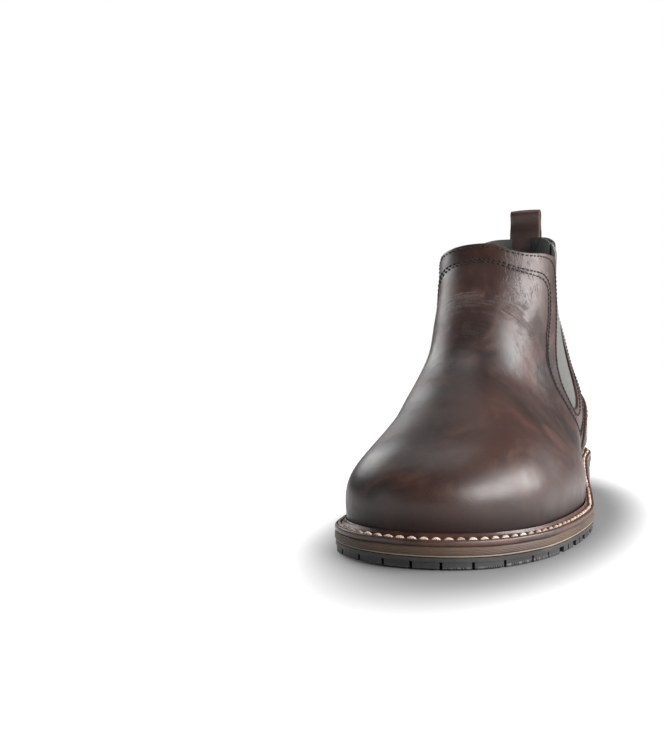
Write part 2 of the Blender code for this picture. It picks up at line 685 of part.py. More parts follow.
def sole_stack(boot):
    """Every layer below the foot, from the ground up."""
    outsole(boot)
    sole_layer("midsole", 0.0, lambda y: float(rubber_top(y)), lambda y: float(midsole_top(y)), boot.parts,
               "tan_rubber", stations=56)
    welt(boot)
    welt_thread(boot)
    inner = welt_width(OUTLINE[:, 1]) + UPPER[1] + 4 + GAP
    floor = lambda y: float(midsole_top(y)) + GAP
    ceiling = lambda y: float(feather(y)) - 0.2
    sole_layer("cork_filler", inner, floor, ceiling, boot.parts, "cork", end=14.0, stations=30)
    sole_layer("heel_seat_filler", inner, floor, ceiling, boot.parts, "moulded_fibre", start=99.0, stations=20)
    shank(boot)
    board = welt_width(OUTLINE[:, 1]) + UPPER[1] + 6.0
    sole_layer("insole_board", board, lambda y: float(feather(y)) + GAP, lambda y: float(feather(y)) + 2.6,
               boot.parts, "board", stations=40)
    footbed(boot, board - 0.6)


def shank(boot):
    """A ribbed steel strip under the waist, between the cork and the heel seat."""
    stations = np.linspace(18, 95, 12)
    points, faces = [], []
    for y in stations:
        low = float(midsole_top(y)) + 2 * GAP
        for x, z in ((-7, 0), (7, 0), (7, 1.2), (2, 1.2), (0, 2.0), (-2, 1.2), (-7, 1.2)):
            points.append((x + 1, y, low + z))
    sides = 7
    for i in range(len(stations) - 1):
        for k in range(sides):
            n = (k + 1) % sides
            faces.append((sides * i + k, sides * i + n, sides * (i + 1) + n, sides * (i + 1) + k))
    faces += [tuple(range(sides))[::-1], tuple(sides * (len(stations) - 1) + k for k in range(sides))]
    return mesh_object("steel_shank", points, faces, boot.parts, "steel")


def footbed(boot, inset):
    """The cushioned sock that the foot stands on."""
    base = lambda y: float(feather(y)) + 2.6 + GAP
    return sole_layer("footbed", inset, base, lambda y: base(y) + 3.6, boot.parts, "footbed_cloth", stations=40)


def fold_line(low_y, high_y, lift):
    """Side-view line over the heel counter where the rear shaft folds back."""
    return [(y, 60.0 + (y - 92) * 0.11 + lift) for y in np.linspace(low_y, high_y, 5)]


def rear_outline(inset, drop, inner=False):
    """Side-view outline of the rear shaft: behind the gore, above the fold line."""
    line = shifted(GORE_REAR_LINE, -inset)
    rear = below_topline(led(line) if inner else line, drop)
    back = topline_run(rear[-1][0], 165, drop)
    return rear[1:] + back + fold_line(75.5 + inset, 165, 1.0)[::-1]


def uppers(boot):
    """Leather, elastic, lining and stiffeners, all trimmed from sheets over the last."""
    inner = (window(GORE_FRONT_LINE, 6), -90, -6)
    boot.panel("vamp", UPPER, front_outline(0.5, 0.0, 0.0), "brown_leather", cut=inner)
    lining_front = front_outline(1.0, 1.0, 1.0)
    inner = (window(shifted(GORE_FRONT_LINE, -1.0), 6), -90, -6)
    boot.panel("vamp_lining", LINING, lining_front, "lining", cut=inner)
    boot.panel("toe_puff", STIFFENER, feather_run(-96, -150, 1.0, 8) + [(-165, 20), (-165, 90), (-102, 90)],
               "moulded_fibre")
    heel_low = feather_run(SEAM_Y + 0.4, 150, GAP, 6)
    heel_top = fold_line(SEAM_Y + 0.4, 165, 0.0)[::-1]
    boot.panel("heel_lining", LINING, heel_low + heel_top, "lining")
    stiff_low = feather_run(64, 150, 1.0, 8)
    stiff_top = [(165, 60), (112, 58), (102, 46), (64, 40)]
    boot.panel("heel_stiffener", STIFFENER, stiff_low + [(165, 33)] + stiff_top, "moulded_fibre")
    boot.panel("heel_quarter", UPPER, heel_low + heel_top, "brown_leather")
    cover = [(y, z) for y, z in run(COVER_EDGE, 14) if z > float(feather(y)) + 1]
    boot.panel("heel_counter_cover", COVER, [(cover[0][0] - 1, float(feather(cover[0][0])) + GAP)] + cover
               + [(165, 67), (165, 33)] + feather_run(150, cover[0][0] + 6, GAP, 8), "brown_leather")
    boot.panel("quarter_lateral", UPPER, rear_outline(0.0, 0.0), "brown_leather", sides=(0.15, 95))
    boot.panel("quarter_medial", UPPER, rear_outline(0.0, 0.0, True), "brown_leather", sides=(-95, -0.15))
    outer = (window(shifted(GORE_REAR_LINE, -1.0), -6), -6, 90)
    boot.panel("quarter_lining", LINING, rear_outline(1.0, 1.0, True), "lining", cut=outer)
    strap = [(120, 69.5), (165, 69.5), (165, 184), (120, 184)]
    boot.panel("back_strap", STRAP, strap, "brown_leather", sides=(-9, 9))
    boot.panel("gore_lateral", STIFFENER, gore_outline(False), "elastic", 3, 90)
    boot.panel("gore_medial", STIFFENER, gore_outline(True), "elastic", -90, -3)


def gore_outline(inner):
    """Side-view outline of one elastic, which runs under the leather on both sides and at the tip."""
    front, rear = shifted(GORE_FRONT_LINE, -GORE_LAP), shifted(GORE_REAR_LINE, -GORE_LAP)
    front, rear = (below_topline(led(line) if inner else line, 1.5) for line in (front, rear))
    top = topline_run(rear[-1][0], front[0][0], 1.5)
    return front + [(70, 52)] + rear + top


TAB_HALF_WIDTH = 11.5
TAB_X = -9.0
TAB_PIVOT_RISE = 1.0
TAB_TOP = 209.0
TAB_LEG_TOP = 191.5  # the sewn legs end here; the free loop starts above
TAB_THICKNESS = 1.5


def pull_tab(boot):
    """A folded strap: two legs sewn inside and outside the rear topline, and a free loop above them."""
    leg = [(110, 166), (165, 166), (165, TAB_LEG_TOP), (110, TAB_LEG_TOP)]
    half = TAB_HALF_WIDTH
    boot.panel("pull_tab_leg_outer", TAB_OUTSIDE, leg, "brown_leather", TAB_X - half, TAB_X + half)
    boot.panel("pull_tab_leg_inner", TAB_INSIDE, leg, "brown_leather", TAB_X - half, TAB_X + half)
    outer_y = float(back_of_leg(TAB_LEG_TOP)) - UPPER[1] + TAB_OUTSIDE[1]
    inner_y = float(back_of_leg(TAB_LEG_TOP)) - UPPER[1] + TAB_INSIDE[0]
    radius = (outer_y - inner_y) / 2
    middle = (outer_y + inner_y) / 2
    low, bend = TAB_LEG_TOP + GAP, TAB_TOP - radius
    arc = np.linspace(0, math.pi, 9)
    outside = [(middle + radius * math.cos(a), bend + radius * math.sin(a)) for a in arc]
    inner_radius = radius - TAB_THICKNESS
    inside = [(middle - inner_radius * math.cos(a), bend + inner_radius * math.sin(a)) for a in arc]
    ribbon = [(outer_y, low)] + outside + [(inner_y, low), (inner_y + TAB_THICKNESS, low)] + inside
    ribbon += [(outer_y - TAB_THICKNESS, low)]
    side_prism("pull_tab", ribbon, TAB_X - half, TAB_X + half, boot.parts, "brown_leather")


def main():
    for obj in list(bpy.data.objects):
        bpy.data.objects.remove(obj)
    boot = Boot()
    sole_stack(boot)
    uppers(boot)
    pull_tab(boot)


main()
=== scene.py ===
"""Looks of the left chelsea boot: leather panels, stitches, elastic, welted rubber sole, light and camera."""

import math

import bmesh
import bpy
import numpy as np
from mathutils import Matrix, Vector


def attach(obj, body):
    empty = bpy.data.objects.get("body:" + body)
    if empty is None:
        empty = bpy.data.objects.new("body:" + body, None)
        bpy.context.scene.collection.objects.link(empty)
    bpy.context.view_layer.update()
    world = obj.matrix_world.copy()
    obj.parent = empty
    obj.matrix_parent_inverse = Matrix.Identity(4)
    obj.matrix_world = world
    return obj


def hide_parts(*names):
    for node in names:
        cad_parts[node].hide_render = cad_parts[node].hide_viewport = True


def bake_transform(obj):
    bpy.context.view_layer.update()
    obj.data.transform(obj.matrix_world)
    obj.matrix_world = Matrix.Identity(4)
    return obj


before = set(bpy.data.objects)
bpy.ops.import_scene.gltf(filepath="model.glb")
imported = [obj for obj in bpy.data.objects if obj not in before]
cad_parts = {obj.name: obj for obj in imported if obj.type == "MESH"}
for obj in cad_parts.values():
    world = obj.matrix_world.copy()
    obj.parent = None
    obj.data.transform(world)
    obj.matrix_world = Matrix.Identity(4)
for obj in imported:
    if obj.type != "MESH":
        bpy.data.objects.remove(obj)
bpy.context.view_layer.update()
MM = 0.001

# ---------------------------------- the last's shape
LENGTH, WIDTH = 304.0, 118.0
FOREFOOT_SOLE, HEEL_SOLE = 5.4, 22.0
MIDSOLE, WELT = 4.7, 3.0
LINING, STIFFENER, UPPER, COVER, STRAP = (0.0, 1.0), (1.3, 2.3), (2.6, 4.4), (4.5, 6.2), (4.55, 5.9)
OUTLINE_POINTS = [
    (-21, -152), (-43, -146), (-59, -130), (-65, -105), (-64.5, -80), (-58, -53), (-48, -25), (-39.5, 5),
    (-35, 35), (-34, 65), (-36, 93), (-36, 115), (-31, 135), (-18, 147.5), (0, 152), (18, 148),
    (32, 134), (38, 112), (39.5, 90), (41.5, 60), (45.5, 30), (51.5, 0), (55, -30), (53.5, -57),
    (49, -84), (41, -110), (24.5, -135), (3, -148.5),
]
FRONT_OF_LEG = [(40, 40), (60, 32), (90, 14), (118, 3), (140, 6), (160, 13.5), (180, 19), (200, 22)]
BACK_OF_LEG = [(10, 142), (30, 145.5), (50, 147), (75, 145), (105, 141), (135, 139), (178, 142), (200, 143)]
LEG_HALF_WIDTH = [(30, 33), (60, 36.5), (90, 37), (120, 38), (150, 37.5), (200, 39)]
LEG_CENTRE = [(30, 6), (60, 2.5), (100, -8), (140, -11), (170, -11.5), (200, -12)]
LEG_BOXINESS = [(30, 2.4), (70, 2.6), (110, 3.0), (160, 3.2), (200, 3.2)]
RIDGE = [(-150, 45), (-125, 52), (-105, 58), (-80, 68), (-55, 80), (-30, 93), (-5, 105.5), (20, 107),
         (50, 100), (80, 88), (110, 76), (150, 60)]
INSTEP_LEAN = [(-150, 0), (-110, 2), (-70, 12), (-35, 24), (5, 27.5), (45, 23), (90, 8), (150, 0)]
TOPLINE = [(-10, 171), (12, 170), (18, 167.5), (26, 164.5), (36, 162.5), (48, 161.7), (60, 162), (80, 166),
           (96, 172), (110, 179), (128, 186), (150, 188)]
GORE_FRONT = [(190, 60), (160, 58), (140, 56.5), (120, 54), (100, 51.5), (84, 50.5), (72, 53), (63.5, 60),
              (59, 70), (54, 86)]  # z, y
GORE_REAR = [(190, 109), (150, 107), (130, 104), (110, 99), (92, 93), (78, 87), (67, 79.5), (59, 70),
             (54, 60)]
COVER_EDGE = [(76, 18), (84, 34), (95, 49), (108, 61), (124, 69), (156, 71)]
OUTER_DROP, GORE_LEAD = 4.0, 13.0  # the topline's fall on the outer side, and the inner gore's lead
QUARTER_FRONT, SIDE_SEAM, COVER_FRONT = 62.0, 97.0, 70.0  # y where the rear panels start


def smooth_table(points):
    """A smooth curve through (x, value) pairs: cubic Hermite pieces with averaged slopes."""
    xs, vs = np.array(sorted(points), float).T
    slopes = np.gradient(vs, xs)

    def value(x):
        x = np.clip(np.asarray(x, float), xs[0], xs[-1])
        i = np.clip(np.searchsorted(xs, x) - 1, 0, len(xs) - 2)
        step = xs[i + 1] - xs[i]
        t = (x - xs[i]) / step
        rise = t * t * (3 - 2 * t)
        bend = t * (1 - t) ** 2 * slopes[i] - t * t * (1 - t) * slopes[i + 1]
        return vs[i] + rise * (vs[i + 1] - vs[i]) + bend * step

    return value


def run_of(points):
    """Length along a polyline up to each of its points."""
    return np.r_[0, np.cumsum(np.linalg.norm(np.diff(points, axis=0), axis=1))]


def unit(vectors):
    return vectors / np.linalg.norm(vectors, axis=1)[:, None]


def smooth_loop(points, count):
    """count points at equal arc lengths on a closed Catmull-Rom curve through the given points."""
    p = np.array(points, float)
    before, after, far = np.roll(p, 1, 0), np.roll(p, -1, 0), np.roll(p, -2, 0)
    fine = []
    for t in np.linspace(0, 1, 24, endpoint=False):
        fine.append(0.5 * (2 * p + (after - before) * t + (2 * before - 5 * p + 4 * after - far) * t * t
                           + (3 * (p - after) + far - before) * t ** 3))
    loop = np.stack(fine, 1).reshape(-1, p.shape[1])
    loop = np.vstack([loop, loop[:1]])
    run = run_of(loop)
    at = np.linspace(0, run[-1], count, endpoint=False)
    return np.stack([np.interp(at, run, loop[:, k]) for k in range(loop.shape[1])], 1)


def centred_outline(count=720):
    loop = smooth_loop(OUTLINE_POINTS, count)
    low, high = loop.min(0), loop.max(0)
    return (loop - (low + high) / 2) * np.array([WIDTH, LENGTH]) / (high - low)


OUTLINE = centred_outline()


def inset_outline(distance):
    """The outline moved inwards; distance is a number or one value for each of its points."""
    along = unit(np.roll(OUTLINE, -4, 0) - np.roll(OUTLINE, 4, 0))
    inwards = np.stack([along[:, 1], -along[:, 0]], 1)
    if (inwards * OUTLINE).sum() > 0:
        inwards = -inwards
    return OUTLINE + inwards * np.reshape(distance, (-1, 1))


def plan_sides(loop):
    """Two functions of y: x of the inner side and x of the outer side of a closed plan."""
    toe, heel = int(loop[:, 1].argmin()), int(loop[:, 1].argmax())
    turned = np.roll(loop, -toe, 0)
    split = (heel - toe) % len(loop)
    one, other = turned[: split + 1], np.vstack([turned[split:], turned[:1]])[::-1]
    medial, lateral = (one, other) if one[:, 0].mean() < other[:, 0].mean() else (other, one)
    return tuple(lambda y, side=s: np.interp(y, side[:, 1], side[:, 0]) for s in (medial, lateral))


def band_faces(rings):
    """Quads between each closed ring of point numbers and the next."""
    faces = []
    for ring, following in zip(rings, rings[1:]):
        for k in range(len(ring)):
            n = (k + 1) % len(ring)
            faces.append((ring[k], ring[n], following[n], following[k]))
    return faces


def ease(low, high, y):
    t = np.clip((np.asarray(y, float) - low) / (high - low), 0, 1)
    return t * t * (3 - 2 * t)


def toe_lift(y, amount):
    return amount * np.clip((-74 - np.asarray(y, float)) / (LENGTH / 2 - 74), 0, 1) ** 2


def rubber_top(y):
    return FOREFOOT_SOLE + (HEEL_SOLE - FOREFOOT_SOLE) * ease(-18, 62, y) + toe_lift(y, 0.8)


def midsole_top(y):
    return rubber_top(y) + MIDSOLE


def feather(y):
    return midsole_top(y) + WELT


def welt_width(y):
    return 4.5 + 2.3 * (1 - ease(-150, -112, y)) + 1.1 * ease(40, 90, y)


LAST_PLAN = inset_outline(welt_width(OUTLINE[:, 1]) + UPPER[1])
LAST_MEDIAL, LAST_LATERAL = plan_sides(LAST_PLAN)
LAST_TOE, LAST_HEEL = LAST_PLAN[:, 1].min(), LAST_PLAN[:, 1].max()
ridge, front_of_leg, back_of_leg = map(smooth_table, (RIDGE, FRONT_OF_LEG, BACK_OF_LEG))
leg_half_width, leg_centre, leg_boxiness = map(smooth_table, (LEG_HALF_WIDTH, LEG_CENTRE, LEG_BOXINESS))
topline, instep_lean = smooth_table(TOPLINE), smooth_table(INSTEP_LEAN)
gore_front, gore_rear, cover_edge = map(smooth_table, (GORE_FRONT, GORE_REAR, COVER_EDGE))


def foot_field(x, y, z):
    half = np.maximum((LAST_LATERAL(y) - LAST_MEDIAL(y)) / 2, 0.4)
    centre = (LAST_LATERAL(y) + LAST_MEDIAL(y)) / 2
    widest = feather(y) + 12
    back = np.clip((LAST_TOE + 36.0 - y) / 36.0, 0, 0.9999)
    rise = (ridge(y) - UPPER[1] - widest) * (1 - back ** 2.5) ** (1 / 2.5)
    drop = 42.0 * (1 - back ** 2.5) ** (1 / 2.5)
    boxy = 2.5 - 0.6 * ease(-110, -30, y)
    across = np.abs(x - centre + instep_lean(y) * ease(0, 60, z - widest)) / half
    up = np.where(z > widest, (z - widest) / np.maximum(rise, 0.4), (widest - z) / np.maximum(drop, 0.4))
    outside = np.maximum(LAST_TOE - y, y - LAST_HEEL)
    value = ((across ** boxy + up ** 2.1) ** (1 / 2.3) - 1) * 45
    return np.where(outside > 0, 45 + outside, value)


def leg_field(x, y, z):
    front, back = front_of_leg(z) + UPPER[1], back_of_leg(z) - UPPER[1]
    half = leg_half_width(z) - UPPER[1]
    widest = front + (back - front) * (0.5 - 0.12 * ease(90, 150, z))
    behind = y > widest
    along = np.abs(y - widest) / np.where(behind, back - widest, widest - front)
    across = np.abs(x - leg_centre(z)) / half
    rear_power = np.minimum(leg_boxiness(z), 2.6 - 0.75 * ease(70, 140, z))
    outer_round = 0.7 * ease(60, 115, z) * (x > leg_centre(z))
    power = np.where(behind, rear_power, leg_boxiness(z) - 0.35 * ease(90, 150, z) - outer_round)
    value = ((along ** power + across ** power) ** (1 / power) - 1) * 34
    return value + np.maximum(36 - z, 0) * 2


def last_field(points):
    x, y, z = points.T
    a, b = foot_field(x, y, z), leg_field(x, y, z)
    blend = 3 + 33 * (1 - ease(10, 75, y))
    h = np.maximum(blend - np.abs(a - b), 0) / blend
    return np.minimum(a, b) - h * h * blend / 4


def on_last(origins, directions):
    near, far = np.zeros(len(origins)), np.full(len(origins), 190.0)
    for _ in range(26):
        middle = (near + far) / 2
        inside = last_field(origins + directions * middle[:, None]) < 0
        near, far = np.where(inside, middle, near), np.where(inside, far, middle)
    return origins + directions * near[:, None]


PIVOT = np.array([0.0, -20.0, 152.0])
SPINE = 105.0
TOE_CENTRE = np.array([-9.0, -102.0, 38.0])


def spine_stations(foot, fan, leg):
    stations = []
    for t in np.linspace(0, 1, foot, endpoint=False):
        origin = TOE_CENTRE * (1 - t) + np.array([0, PIVOT[1], PIVOT[2] - SPINE]) * t
        stations.append((origin, np.array([0.0, 0.0, 1.0])))
    for angle in np.interp(np.linspace(0, 1, fan), (0, 0.22, 0.82, 1), np.radians((0, 34, 72, 90))):
        radial = np.array([0.0, math.sin(angle), -math.cos(angle)])
        stations.append((PIVOT + SPINE * radial + np.array([5 - 10 * angle / 1.57, 0, 0]), -radial))
    for t in np.linspace(0, 1, leg + 1)[1:]:
        stations.append((PIVOT + np.array([-5 - 6 * t, SPINE, 44.0 * t]), np.array([0.0, -1.0, 0.0])))
    return stations


class Last:
    """A dense smooth skin of the last, with normals and (around, along) coordinates in millimetres."""

    def __init__(self, side=36, toe=8, foot=58, fan=104, leg=34):
        edge = np.linspace(-1, 1, side + 1)
        square = [(a, 1.0) for a in edge[:-1]] + [(1.0, -a) for a in edge[:-1]]
        square += [(-a, -1.0) for a in edge[:-1]] + [(-1.0, a) for a in edge[:-1]]
        origins, directions, flow, faces = [], [], [], []

        def add(origin, direction, around, along):
            origins.append(origin)
            directions.append(direction / np.linalg.norm(direction))
            flow.append((around, along))
            return len(origins) - 1

        spread = math.tan(math.radians(42)) * 0.8
        cap = {}
        for i, a in enumerate(edge):
            for j, b in enumerate(edge):
                direction = np.array([math.tan(a * 0.72) * spread, -1.0, math.tan(b * 0.72) * spread])
                cap[i, j] = add(TOE_CENTRE, direction, a * 40, b * 40 - 40)
        for i in range(side):
            for j in range(side):
                faces.append((cap[i, j], cap[i + 1, j], cap[i + 1, j + 1], cap[i, j + 1]))
        index = {round(v, 6): k for k, v in enumerate(edge)}
        rings = [[cap[index[round(a, 6)], index[round(b, 6)]] for a, b in square]]
        first = [directions[k] for k in rings[0]]
        flat = [np.array([d[0], 0.0, d[2]]) / math.hypot(d[0], d[2]) for d in first]
        angles = [math.degrees(math.atan2(f[0], f[2])) for f in flat]
        for t in np.linspace(0, 1, toe + 1)[1:-1]:
            rings.append([add(TOE_CENTRE, d * (1 - t) + f * t, a * 0.75, 12 * t)
                          for d, f, a in zip(first, flat, angles)])
        for k, (origin, up) in enumerate(spine_stations(foot, fan, leg)):
            rings.append([add(origin, np.array([f[0], 0.0, 0.0]) + up * f[2], a * 0.75, 12 + k * 1.3)
                          for f, a in zip(flat, angles)])
        self.faces = np.array(faces + band_faces(rings))
        self.points = self.relaxed(on_last(np.array(origins), np.array(directions)), rings[-1])
        self.flow = np.array(flow)
        self.normals = self.normals_of(self.points)
        if ((self.points - self.points.mean(0)) * self.normals).sum() < 0:
            self.normals = -self.normals
            self.faces = self.faces[:, ::-1]

    def relaxed(self, points, fixed):
        """Evens out the small ripples where the tables' pieces meet."""
        a, b = self.faces.reshape(-1), np.roll(self.faces, -1, 1).reshape(-1)
        for step in (0.5, -0.52, 0.5, -0.52, 0.5, -0.52):
            total, count = np.zeros_like(points), np.zeros(len(points))
            for i, j in ((a, b), (b, a)):
                np.add.at(total, i, points[j])
                np.add.at(count, i, 1)
            moved = points + (total / count[:, None] - points) * step
            moved[fixed] = points[fixed]
            points = moved
        return points

    def normals_of(self, points):
        p = points[self.faces]
        area = np.cross(p[:, 2] - p[:, 0], p[:, 3] - p[:, 1])
        normals = np.zeros_like(points)
        for k in range(4):
            np.add.at(normals, self.faces[:, k], area)
        return normals / np.maximum(np.linalg.norm(normals, axis=1), 1e-9)[:, None]


LAST = Last()

# -------------------------------------- panel fields


def smooth_min(a, b, k):
    h = np.maximum(k - np.abs(a - b), 0) / k
    return np.minimum(a, b) - h * h * k / 4


def smooth_max(a, b, k):
    return -smooth_min(-a, -b, k)


def square_to(line, at, distance):
    """A distance from a line along one axis, turned square to the line."""
    slope = (line(at + 1.0) - line(at - 1.0)) / 2
    return distance / np.sqrt(1 + slope * slope)


def side_distance(line, y, z):
    """Distance behind a line given as y over z, measured square to it."""
    return square_to(line, z, y - line(z))


def from_top(p):
    """Distance below the topline, which peaks at the front and falls off a little on the outer side."""
    x, y, z = p.T
    drop = OUTER_DROP * ease(-9, 4, x) * ease(42, 22, y)
    return square_to(topline, y, topline(y) - drop - z)


def gore_shift(p):
    """The inner side's gore leans further forward, towards its top, than the outer side's."""
    return GORE_LEAD * ease(62, 140, p[:, 2]) * (1 - ease(-20, -2, p[:, 0]))


def in_gore(p):
    """Distance inside the gore's opening; below zero in the leather."""
    y, z = p[:, 1] + gore_shift(p), p[:, 2]
    return smooth_min(side_distance(gore_front, y, z), -side_distance(gore_rear, y, z), 9)


def leather_edge(p):
    """Distance inside the leather from the topline and the gore, which meet in a round corner."""
    return -smooth_max(-from_top(p), in_gore(p), 5)


def behind_gore(p):
    """Distance inside the rear shaft; below zero in front of it or under the height where it bends."""
    y, z = p[:, 1] + gore_shift(p), p[:, 2]
    bend = 60.0 + (p[:, 1] - 92) * 0.11
    return np.minimum(side_distance(gore_rear, y, z), z - bend + 1.5)


def above_feather(p):
    return p[:, 2] - feather(p[:, 1])


def over_welt(lift):
    """A field for a patch that starts lift above the feather line."""
    return lambda p: lift - above_feather(p)


def one_side(sign):
    """A field for a patch on the outer side, or with sign -1 on the inner side."""
    return lambda p: (leg_centre(p[:, 2]) - p[:, 0]) * sign


def counter(p):
    """Distance inside the heel counter cover."""
    y, z = p[:, 1], p[:, 2]
    return np.minimum(square_to(cover_edge, y, cover_edge(y) - z), (y - COVER_FRONT) * 2)


# -------------------------------- patches and meshes


class Patch:
    """A piece of the last's skin: points, normals and flow where every field is below zero."""

    def __init__(self, *fields):
        self.points, self.normals, self.flow = LAST.points, LAST.normals, LAST.flow
        self.faces = [tuple(f) for f in LAST.faces]
        for field in fields:
            self.cut(field)

    def cut(self, field, level=0.0, keep_both=False):
        """Cuts the faces along field = level, and keeps the part below it, or both parts."""
        value = field(self.points) - level
        value[np.abs(value) < 0.07] = -1e-9
        inside = value < 0
        extra, made, faces = [], {}, []
        count = len(self.points)

        def crossing(i, j):
            key = (min(i, j), max(i, j))
            if key not in made:
                t = value[key[0]] / (value[key[0]] - value[key[1]])
                made[key] = count + len(extra)
                extra.append((key[0], key[1], t))
            return made[key]

        for face in self.faces:
            flags = [inside[k] for k in face]
            if all(flags):
                faces.append(face)
                continue
            if not any(flags):
                if keep_both:
                    faces.append(face)
                continue
            parts = ([], [])
            for k, i in enumerate(face):
                j = face[(k + 1) % len(face)]
                parts[0 if inside[i] else 1].append(i)
                if inside[i] != inside[j]:
                    middle = crossing(i, j)
                    parts[0].append(middle)
                    parts[1].append(middle)
            for part in parts[: 2 if keep_both else 1]:
                if len(part) >= 3:
                    faces.append(tuple(part))
        if extra:
            i, j, t = np.array(extra).T
            i, j, t = i.astype(int), j.astype(int), t[:, None]
            for name in ("points", "normals", "flow"):
                data = getattr(self, name)
                setattr(self, name, np.vstack([data, data[i] * (1 - t) + data[j] * t]))
        used = np.unique(np.concatenate([np.array(f) for f in faces]))
        renumber = np.full(len(self.points), -1)
        renumber[used] = np.arange(len(used))
        self.points, self.normals, self.flow = self.points[used], self.normals[used], self.flow[used]
        self.faces = [tuple(int(renumber[k]) for k in f) for f in faces]

    def rings_near(self, edge, distances):
        """Adds rings of points at these distances inside an edge, so that its rounding is smooth."""
        for distance in distances:
            self.cut(lambda p: -edge(p), -distance, keep_both=True)
        return self

    def rim(self):
        uses = {}
        for face in self.faces:
            for a, b in zip(face, face[1:] + face[:1]):
                if (b, a) in uses:
                    uses[b, a] += 1
                else:
                    uses[a, b] = 1
        return [pair for pair, n in uses.items() if n == 1]

    def contour(self, field, level):
        """Polylines of (point, normal) along field = level."""
        value = field(self.points) - level
        value[np.abs(value) < 1e-6] = 1e-6
        links, place = {}, {}
        for face in self.faces:
            ends = []
            for a, b in zip(face, face[1:] + face[:1]):
                if (value[a] < 0) != (value[b] < 0):
                    key = (min(a, b), max(a, b))
                    ends.append(key)
                    if key not in place:
                        t = value[key[0]] / (value[key[0]] - value[key[1]])
                        place[key] = (self.points[key[0]] * (1 - t) + self.points[key[1]] * t,
                                      self.normals[key[0]] * (1 - t) + self.normals[key[1]] * t)
            for k in range(0, len(ends) - 1, 2):
                links.setdefault(ends[k], []).append(ends[k + 1])
                links.setdefault(ends[k + 1], []).append(ends[k])
        lines, seen = [], set()
        for start in sorted(links, key=lambda k: len(links[k])):
            if start in seen:
                continue
            line, here = [start], start
            seen.add(start)
            while True:
                onward = [k for k in links[here] if k not in seen]
                if not onward:
                    break
                here = onward[0]
                seen.add(here)
                line.append(here)
            if len(links[start]) == 2 and start in links[line[-1]]:
                line.append(start)
            lines.append((np.array([place[k][0] for k in line]), np.array([place[k][1] for k in line])))
        return [line for line in lines if len(line[0]) > 3]


def panel_mesh(name, patch, layer, edge, body, replaces, materials, relief=None, radius=0.75):
    """A sheet with rounded cut edges. edge(points) is the distance to the nearest visible edge."""
    points, normals = patch.points, patch.normals
    near = np.clip(edge(points) / radius, 0, 1)
    round_off = radius * (1 - np.sqrt(np.maximum(1 - (1 - near) ** 2, 0)))
    lift = relief(points) if relief else np.zeros(len(points))
    outer = points + normals * (layer[1] - round_off + lift)[:, None]
    inner = points + normals * (layer[0] + 0.35 * round_off)[:, None]
    count = len(points)
    faces = list(patch.faces) + [tuple(count + k for k in f[::-1]) for f in patch.faces]
    finish = [0] * len(faces)
    rim = patch.rim()
    faces += [(b, a, count + a, count + b) for a, b in rim]
    finish += [1] * len(rim)
    flow = np.vstack([patch.flow, patch.flow])
    return build(name, np.vstack([outer, inner]), faces, body, replaces, materials, finish, flow,
                 np.r_[edge(points), edge(points)])


def per_point(mesh, name, values):
    layer = mesh.attributes.new(name, "FLOAT", "POINT")
    layer.data.foreach_set("value", values.astype(np.float32))


def build(name, points, faces, body, replaces, materials, finish=None, flow=None, edge=None,
          smooth_angle=50):
    mesh = bpy.data.meshes.new(name)
    mesh.from_pydata([tuple(p) for p in np.asarray(points) * MM], [], faces)
    for material in materials:
        mesh.materials.append(material)
    if finish:
        mesh.polygons.foreach_set("material_index", finish)
    mesh.validate(clean_customdata=False)
    if flow is not None:
        layer = mesh.attributes.new("flow", "FLOAT_VECTOR", "POINT")
        layer.data.foreach_set("vector", np.c_[flow, np.zeros(len(flow))].astype(np.float32).reshape(-1))
    if edge is not None:
        per_point(mesh, "edge", edge)
    mesh.shade_smooth()
    mesh.set_sharp_from_angle(angle=math.radians(smooth_angle))
    made = bpy.data.objects.new(name, mesh)
    bpy.context.scene.collection.objects.link(made)
    if body:
        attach(made, body)
    if replaces:
        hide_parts(*replaces)
    return made


# ----------------------------------------- materials


